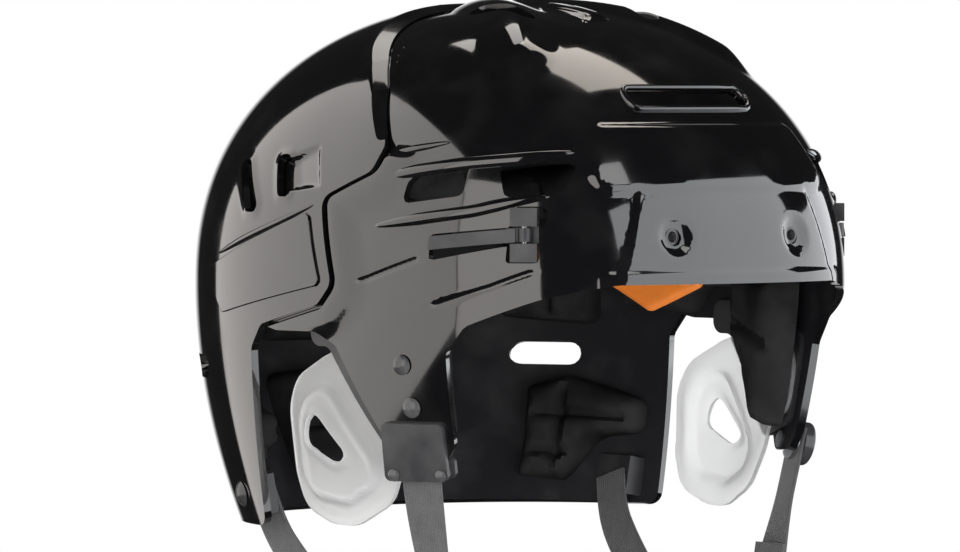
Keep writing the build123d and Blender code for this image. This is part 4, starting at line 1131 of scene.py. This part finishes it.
def build_weave():
    """Webbing weave from the strap's own coordinates, in millimetres, with painted shade in its hollows."""
    inputs = (("Rib Pitch", 1.1), ("Thread Pitch", 0.9))
    group, entry, leave, where = new_group("Webbing Weave", inputs, ("Height", "Shade"))
    uv = shader_node(group, "UVMap", uv_map="Weave").outputs["UV"]
    place_on = shader_node(group, "SeparateXYZ", (("Vector", uv),)).outputs
    across = maths(group, "DIVIDE", place_on["X"], entry["Rib Pitch"])
    down = maths(group, "DIVIDE", place_on["Y"], entry["Thread Pitch"])
    shifted = maths(group, "MULTIPLY_ADD", maths(group, "FLOOR", across), 0.5, down)
    rib = maths(group, "SINE", maths(group, "MULTIPLY", across, math.pi))
    thread = maths(group, "SINE", maths(group, "MULTIPLY", shifted, 2 * math.pi))
    lifted = maths(group, "MULTIPLY_ADD", thread, 0.3, 0.7)
    height = maths(group, "MULTIPLY", maths(group, "ABSOLUTE", rib), lifted)
    fade = span(group, noise(group, where, 240.0, 4.0), 0.3, 0.7, 0.75, 1.15)
    # Painted shade: from the threads' height the weave's hollows go darker and its crests lighter, times a
    # random tone
    shade = maths(group, "MULTIPLY", maths(group, "MULTIPLY_ADD", height, 0.6, 0.6), fade)
    feed(group, leave, (("Height", height), ("Shade", shade)))
    return group


def shade_of(colour, share, white):
    """A share of a colour, moved towards white."""
    return (*(part * share + (1 - part * share) * white for part in colour), 1)


def new_material(name):
    """A material with nodes: itself, its tree and its Principled shader."""
    material = bpy.data.materials.new(name)
    material.use_nodes = True
    return material, material.node_tree, material.node_tree.nodes["Principled BSDF"]


def build_finish(name, group, colour, values, dark, light, roughness, bump, inputs):
    """A material: one Principled shader with a shared effect on colour, roughness and bump."""
    _, tree, shader = new_material(name)
    effect = shader_node(tree, "Group", values, node_tree=group)
    mask = effect.outputs[1]
    shades = (("A", shade_of(colour, *dark)), ("B", shade_of(colour, *light)), ("Factor", mask))
    mix = shader_node(tree, "Mix", shades, data_type="RGBA")
    relief = (("Strength", 1.0), ("Distance", bump * MM), ("Height", effect.outputs["Height"]))
    feed(tree, shader, (
        ("Base Color", mix.outputs["Result"]),
        ("Roughness", span(tree, mask, 0, 1, *roughness)),
        ("Normal", shader_node(tree, "Bump", relief).outputs["Normal"]),
        *inputs,
    ))


def direction(azimuth, elevation):
    """The unit vector at an azimuth and an elevation, in degrees."""
    turn, lift = math.radians(azimuth), math.radians(elevation)
    return Vector(
        (math.cos(turn) * math.cos(lift), math.sin(turn) * math.cos(lift), math.sin(lift))
    )


SLOT_COLOURS = {item["slot"]: tuple(item["base_color"]) for item in frame["record"]["materials"]}


def colour_setting(name, slot):
    """A colour that the user may change, from the record's own."""
    return FloatVectorProperty(
        name=name, description=f"Colour of the {name.lower()}", subtype="COLOR", size=3,
        min=0.0, max=1.0, default=SLOT_COLOURS[slot],
    )


def length_setting(name, description, default):
    """A length that the user may change, in metres."""
    return FloatProperty(
        name=name, description=description, default=default, unit="LENGTH", subtype="DISTANCE"
    )


class HelmetSizes(bpy.types.PropertyGroup):
    """Sizes of the helmet's moulded and sewn detail."""

    shell_cells: IntProperty(
        name="Shell Cells", description="Squares along a quarter turn of the shells",
        default=108, min=24, max=120,
    )
    guard_cell: length_setting("Guard Cell", "Mesh size of the ear guards", 0.0014)
    shell_rim: length_setting("Shell Rim", "Rounding of the shells' rims", 0.0009)
    pad_soft: length_setting("Pad Rounding", "Rounding of the foam pads' borders", 0.008)
    channel: length_setting("Channel Half Width", "Half the width of the pads' channels", 0.0034)
    card_light: FloatProperty(
        name="Soft Box Level", description="Radiance of the studio's soft boxes",
        default=1.2, min=0.0,
    )


class HelmetColours(bpy.types.PropertyGroup):
    """Colours of the helmet's finishes."""

    shell: colour_setting("Shells", "shell_gloss")
    fittings: colour_setting("Fittings", "black_plastic")
    guards: colour_setting("Ear guards", "clear_plastic")
    foam: colour_setting("Foam", "foam")
    inserts: colour_setting("Inserts", "orange_insert")
    webbing: colour_setting("Webbing", "webbing")
    steel: colour_setting("Steel", "steel")
    coated: colour_setting("Coated steel", "black_steel")


class HelmetPiece:
    """What the helmet's operators share."""

    bl_options = {"REGISTER", "UNDO"}


class HELMET_OT_stage(HelmetPiece, bpy.types.Operator):
    """Set up the camera, the floor, the pale background and the soft lights"""

    bl_idname = "helmet.stage"
    bl_label = "Stage"

    def execute(self, context):
        scene = context.scene
        scene.view_settings.view_transform = "Standard"
        lens = bpy.data.cameras.new("Camera")
        lens.sensor_width, lens.lens = SENSOR_WIDTH, LENS_LENGTH
        lens.shift_x, lens.shift_y = LENS_SHIFT
        scene.camera = add_object("Camera", lens)
        away = direction(CAMERA_AZIMUTH, CAMERA_ELEVATION)
        scene.camera.location = Vector((0, 0, AIM_HEIGHT)) + away * CAMERA_REACH
        scene.camera.rotation_euler = (-away).to_track_quat("-Z", "Y").to_euler()
        self.floor()
        self.world(scene)
        for *box, share, warmth in SOFT_BOXES:
            self.soft_box(*box, scene.helmet_sizes.card_light * share, warmth)
        return {"FINISHED"}

    def seen_rays(self, tree):
        """The Light Path's outputs, and a mask of the rays that the camera looks along."""
        rays = shader_node(tree, "LightPath").outputs
        return rays, maths(tree, "MAXIMUM", rays["Is Camera Ray"], rays["Is Transmission Ray"])

    def floor(self):
        """A pale floor that fades into the white background."""
        bm = bmesh.new()
        bmesh.ops.create_circle(bm, cap_ends=True, segments=96, radius=FLOOR_RADIUS)
        bmesh.ops.translate(bm, vec=(0, 0, FLOOR_HEIGHT), verts=bm.verts)
        floor = add_mesh("Floor", bm)
        floor.visible_glossy = False
        material, tree, shader = new_material("Pale floor")
        feed(tree, shader, (
            ("Base Color", (0.9, 0.9, 0.9, 1)), ("Roughness", 0.7), ("Specular IOR Level", 0.0)
        ))
        where = shader_node(tree, "TexCoord").outputs["Object"]
        far = shader_node(tree, "VectorMath", ((0, where),), operation="LENGTH")
        fade = span(tree, far.outputs["Value"], *FLOOR_FADE)
        glow = maths(tree, "MULTIPLY", fade, self.seen_rays(tree)[1])
        mix = shader_node(tree, "MixShader", (
            ("Fac", glow), (1, shader.outputs["BSDF"]),
            (2, shader_node(tree, "Emission").outputs["Emission"]),
        ))
        feed(tree, tree.nodes["Material Output"], (("Surface", mix.outputs["Shader"]),))
        floor.data.materials.append(material)

    def world(self, scene):
        """White to the camera, dark in reflections but for a backdrop, dim as a light."""
        scene.world = bpy.data.worlds.new("Studio")
        scene.world.use_nodes = True
        tree = scene.world.node_tree
        where = shader_node(tree, "TexCoord").outputs["Generated"]
        behind = shader_node(
            tree, "VectorMath", ((0, where), (1, BACKDROP_WAY)), operation="DOT_PRODUCT"
        )
        split = shader_node(tree, "SeparateXYZ", (("Vector", where),))
        backdrop = maths(
            tree, "MULTIPLY", span(tree, behind.outputs["Value"], *BACKDROP_ASIDE),
            span(tree, split.outputs["Z"], *BACKDROP_UP),
        )
        studio = span(tree, backdrop, 0, 1, MIRRORED_LEVEL, 1.0)
        rays, seen = self.seen_rays(tree)
        glossy = rays["Is Glossy Ray"]
        level = maths(tree, "MAXIMUM", maths(tree, "MULTIPLY", studio, glossy), seen)
        other = maths(tree, "SUBTRACT", 1.0, maths(tree, "MAXIMUM", seen, glossy))
        strength = maths(tree, "ADD", level, maths(tree, "MULTIPLY", other, FILL_LEVEL))
        feed(tree, tree.nodes["Background"], (("Strength", strength), ("Color", (1, 1, 1, 1))))

    def soft_box(self, name, azimuth, elevation, reach, rise, width, height, level, warmth):
        """An area light that faces the helmet and shows in its gloss, unless it is a fill."""
        lamp = bpy.data.lights.new(name, "AREA")
        lamp.color = (1 + warmth / 2, 1, 1 - warmth / 2)
        lamp.shape = "RECTANGLE"
        lamp.size, lamp.size_y = width, height
        lamp.energy = level * math.pi * width * height
        box = add_object(name, lamp)
        away = direction(azimuth, elevation)
        box.location = Vector((0, 0, SOFT_BOX_BASE + rise)) + away * reach
        box.rotation_euler = away.to_track_quat("Z", "Y").to_euler()
        box.visible_camera = False
        box.visible_transmission = False
        box.visible_glossy = "fill" not in name.lower()


class HELMET_OT_finishes(HelmetPiece, bpy.types.Operator):
    """Build the helmet's materials and their shared effects"""

    bl_idname = "helmet.finishes"
    bl_label = "Finishes"

    def execute(self, context):
        colours = context.scene.helmet_colours
        effects = {"moulding": build_moulding(), "foam": build_foam(), "weave": build_weave()}
        for name, effect, setting, *rest in FINISHES:
            build_finish(name, effects[effect], getattr(colours, setting), *rest)
        return {"FINISHED"}


class HELMET_OT_front_shell(HelmetPiece, bpy.types.Operator):
    """Model the front shell with its ridge, plates, steps, vents and windows"""

    bl_idname = "helmet.front_shell"
    bl_label = "Front Shell"

    def execute(self, context):
        sizes = context.scene.helmet_sizes
        lines = [lambda points, gap=gap: step_gap(points) - gap for gap in STEP_LINES]
        add_shell(
            sizes, "front_shell", 0.0, shell_distance, front_relief, front_gap, no_room, lines
        )
        return {"FINISHED"}


class HELMET_OT_rear_shell(HelmetPiece, bpy.types.Operator):
    """Model the rear shell with its chamfer, scoops, vents and rail bosses"""

    bl_idname = "helmet.rear_shell"
    bl_label = "Rear Shell"

    def execute(self, context):
        sizes = context.scene.helmet_sizes
        add_shell(
            sizes, "rear_shell", REAR_OUTER, rear_distance, rear_relief, rear_gap, rear_room
        )
        bm = bmesh.new()
        bmesh.ops.create_cube(bm, size=1)
        bmesh.ops.scale(bm, vec=BOSS_SIZE, verts=bm.verts)
        bmesh.ops.translate(bm, vec=BOSS_PLACE, verts=bm.verts)
        bmesh.ops.bevel(
            bm, geom=bm.edges[:], offset=BOSS_BEVEL, segments=3, profile=0.5, affect="EDGES",
            material=-1,
        )
        mark_creases(bm)
        for boss, name in pair(bm, "rail_boss"):
            finish_piece(boss, name, "rear_shell", "shell_gloss", look="Satin plastic")
        return {"FINISHED"}


class HELMET_OT_ribs(HelmetPiece, bpy.types.Operator):
    """Model the shells' moulded ribs, side panels and the front vent's lip"""

    bl_idname = "helmet.ribs"
    bl_label = "Ribs"

    def execute(self, context):
        for body, offset, ribs in (
            ("front_shell", 0.0, RIBS), ("rear_shell", REAR_OUTER, REAR_RIBS)
        ):
            bm = bmesh.new()
            for corners, width, height in ribs:
                line = bent(corners, RIB_BEND, RIB_STEPS)
                bead(bm, line, "right", offset, width, height, RIB_TAPER)
            for beads, name in pair(bm, f"{body}_ribs"):
                finish_bead(beads, name, body)
        bm = flat_patch(outline(PANEL, PANEL_RADIUS), PANEL_CELL)
        place(bm, on_form(places(bm)[:, :2], "right", REAR_OUTER + PANEL_RISE))
        turn_outward(bm)
        for panel, name in pair(bm, "side_panel"):
            modifiers = wall_of(PANEL_DEPTH), rim_bevel(PANEL_RIM, PANEL_RIM_STEPS)
            finish_piece(panel, name, "rear_shell", "shell_gloss", (), modifiers)
        bm = bmesh.new()
        loop = slot_outline(*FRONT_VENT)
        half = len(loop) // 2
        middle = (loop[half - 1] + loop[half]) / 2
        ring = [middle, *loop[half:], *loop[:half], middle]
        bead(bm, ring, "front", 0.0, VENT_LIP_WIDTH, VENT_LIP_HEIGHT, 0)
        finish_bead(bm, "front_vent_lip", "front_shell")
        return {"FINISHED"}


class HELMET_OT_ear_guards(HelmetPiece, bpy.types.Operator):
    """Model the clear ear guards with their pressed cups and lipped holes"""

    bl_idname = "helmet.ear_guards"
    bl_label = "Ear Guards"

    def execute(self, context):
        right = guard_sheet(context.scene.helmet_sizes.guard_cell / MM)
        for bm, node in pair(right, "ear_guard"):
            finish_piece(
                bm, f"{node}_sheet", "front_shell", "clear_plastic", (node,),
                (wall_of(GUARD_WALL), rim_bevel(GUARD_RIM)),
            )
        return {"FINISHED"}


class HELMET_OT_foam_pads(HelmetPiece, bpy.types.Operator):
    """Model the foam pads with their crowned faces and pressed channels"""

    bl_idname = "helmet.foam_pads"
    bl_label = "Foam Pads"

    def execute(self, context):
        sizes = context.scene.helmet_sizes
        paired = (
            ("upper_side_pad", "front_shell", outline(UPPER_SIDE_PAD, PAD_RADIUS), "right",
             PAD_OUTER, ((-42, 120), (-30, 165)), ((-4, 120), (-4, 165)), ((28, 120), (34, 165))),
            ("lower_side_pad", "front_shell", outline(LOWER_SIDE_PAD, PAD_RADIUS), "right",
             PAD_OUTER, ((8, 70), (8, 112)), ((30, 70), (30, 112))),
            ("temple_pad", "front_shell", outline(TEMPLE_PAD, PAD_RADIUS), "right",
             TEMPLE_OUTER, ((-62, 66), (-10, 84)), ((-40, 30), (-34, 66))),
            ("rear_lower_pad", "rear_shell", outline(REAR_LOWER_PAD, PAD_RADIUS), "right",
             REAR_PAD_OUTER, ((30, 22), (110, 22)), ((30, 38), (110, 38)), ((76, 0), (74, 60))),
            ("rear_upper_pad", "rear_shell", outline(REAR_UPPER_PAD, PAD_RADIUS), "right",
             REAR_PAD_OUTER, ((50, 94), (120, 90)), ((50, 120), (120, 118)),
             ((84, 60), (84, 150))),
            ("crown_pad", "front_shell", box_line(-53, -9, -70, -18), "top", PAD_OUTER,
             ((-31, -80), (-31, -10))),
        )
        middle = (
            ("forehead_pad", "front_shell", rounded(FOREHEAD_PAD, PAD_RADIUS), "front",
             PAD_OUTER, ((-15, 90), (-15, 160)), ((15, 90), (15, 160))),
            ("occipital_pad", "rear_shell", box_line(-30, 30, 6, 58.3), "back",
             REAR_PAD_OUTER, ((-40, 32.2), (40, 32.2)), ((0, 0), (0, 60))),
            ("rear_middle_pad", "rear_shell", box_line(-30, 30, 68.3, 140.7), "back",
             REAR_PAD_OUTER, ((-40, 104.5), (40, 104.5)), ((0, 60), (0, 150))),
            ("rear_crown_pad", "rear_shell", box_line(-31, 31, 67, 117), "top",
             REAR_PAD_OUTER, ((0, 60), (0, 120))),
        )
        for rows, alone in ((paired, False), (middle, True)):
            for name, body, line, view, outer, *cuts in rows:
                channels = [(cut, sizes.channel / MM) for cut in cuts]
                vents = [outline(SLOTS[0], SLOT_RADIUS)] if name == "upper_side_pad" else ()
                bm = pad_solid(
                    line, view, outer, PAD_DEPTH, channels, sizes.pad_soft / MM, vents=vents
                )
                for pad, node in ((bm, name),) if alone else pair(bm, name):
                    piece = finish_piece(pad, f"{node}_foam", body, "foam", (node,))
        return {"FINISHED"}


class HELMET_OT_impact_inserts(HelmetPiece, bpy.types.Operator):
    """Model the orange inserts on the side pads"""

    bl_idname = "helmet.impact_inserts"
    bl_label = "Impact Inserts"

    def execute(self, context):
        line = outline(IMPACT_INSERT, INSERT_RADIUS)
        bm = pad_solid(line, "right", INSERT_OUTER, INSERT_DEPTH, (), INSERT_SOFT, INSERT_CELL)
        for insert, node in pair(bm, "impact_insert"):
            piece = finish_piece(insert, f"{node}_skin", "front_shell", "orange_insert", (node,))
        return {"FINISHED"}


class HELMET_OT_chin_strap(HelmetPiece, bpy.types.Operator):
    """Model the chin strap's webbing, with its fold round the buckle"""

    bl_idname = "helmet.chin_strap"
    bl_label = "Chin Strap"

    def execute(self, context):
        across = twisted(Seat(STRAP_Y, STRAP_TOP).forward, FORWARD, *CHIN_TWIST)
        add_webbing("chin_strap", "front_shell", chin_line(), across)
        return {"FINISHED"}


class HELMET_OT_snap_strap(HelmetPiece, bpy.types.Operator):
    """Model the short left strap with its fold round the buckle's upper bar"""

    bl_idname = "helmet.snap_strap"
    bl_label = "Snap Strap"

    def execute(self, context):
        seat = Seat(STRAP_Y, SNAP_LEVEL, SNAP_OFFSET)
        across = twisted(seat.forward * MIRROR, FORWARD, *SNAP_TWIST)
        add_webbing("front_strap_left", "left_front_strap", front_strap_line(seat), across)
        return {"FINISHED"}


class HELMET_OT_rear_straps(HelmetPiece, bpy.types.Operator):
    """Model the rear straps, which follow the sliding rear shell"""

    bl_idname = "helmet.rear_straps"
    bl_label = "Rear Straps"

    def execute(self, context):
        line = np.array(rear_strap_line())
        for side, word in ((-1, "right"), (1, "left")):
            run, out = line * (-side, 1, 1), SIDE_OUT * (-side, 1, 1)
            piece = add_webbing(f"rear_strap_{word}", "", run, flat_on(run, out))
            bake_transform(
                piece, "front_shell", "rear_shell", start=(side * 0.078, -0.034, -0.056),
                end=(side * 0.085, 0.044, -0.005),
            )
        return {"FINISHED"}


class HELMET_OT_fittings(HelmetPiece, bpy.types.Operator):
    """Give the rails, levers, clips, screws and other fittings their finishes"""

    bl_idname = "helmet.fittings"
    bl_label = "Fittings"

    def execute(self, context):
        slots = {item["node"]: item["material_slot"] for item in frame["record"]["subparts"]}
        for node, piece in frame["nodes"].items():
            dark = node == "visor_tee_nuts"
            look = "Coated steel" if dark else SLOT_FINISHES[slots[node]]
            material = bpy.data.materials[look]
            if not piece.material_slots:
                piece.data.materials.append(material)
            for slot in piece.material_slots:
                slot.material = material
        return {"FINISHED"}


class HELMET_PT_panel(bpy.types.Panel):
    """The helmet's panel in the 3D view's sidebar"""

    bl_idname = "HELMET_PT_panel"
    bl_label = "Ice Hockey Helmet"
    bl_space_type = "VIEW_3D"
    bl_region_type = "UI"
    bl_category = "Helmet"

    def draw(self, context):
        layout = self.layout
        for settings in (context.scene.helmet_sizes, context.scene.helmet_colours):
            column = layout.column()
            for name in settings.__annotations__:
                column.prop(settings, name)
        for step in STEPS:
            layout.operator(step.bl_idname)


STEPS = (
    HELMET_OT_stage, HELMET_OT_finishes, HELMET_OT_front_shell, HELMET_OT_rear_shell,
    HELMET_OT_ribs, HELMET_OT_ear_guards, HELMET_OT_foam_pads, HELMET_OT_impact_inserts,
    HELMET_OT_chin_strap, HELMET_OT_snap_strap, HELMET_OT_rear_straps, HELMET_OT_fittings,
)
CLASSES = (HelmetSizes, HelmetColours, *STEPS, HELMET_PT_panel)


def register():
    """Registers the classes and the scene's settings."""
    for item in CLASSES:
        bpy.utils.register_class(item)
    bpy.types.Scene.helmet_sizes = PointerProperty(type=HelmetSizes)
    bpy.types.Scene.helmet_colours = PointerProperty(type=HelmetColours)


def unregister():
    """Removes the scene's settings and the classes."""
    del bpy.types.Scene.helmet_colours
    del bpy.types.Scene.helmet_sizes
    for item in reversed(CLASSES):
        bpy.utils.unregister_class(item)


def main():
    """Builds the helmet's looks step by step."""
    register()
    for step in STEPS:
        group, name = step.bl_idname.split(".")
        getattr(getattr(bpy.ops, group), name)()
    bpy.context.view_layer.update()


if __name__ == "__main__":
    main()
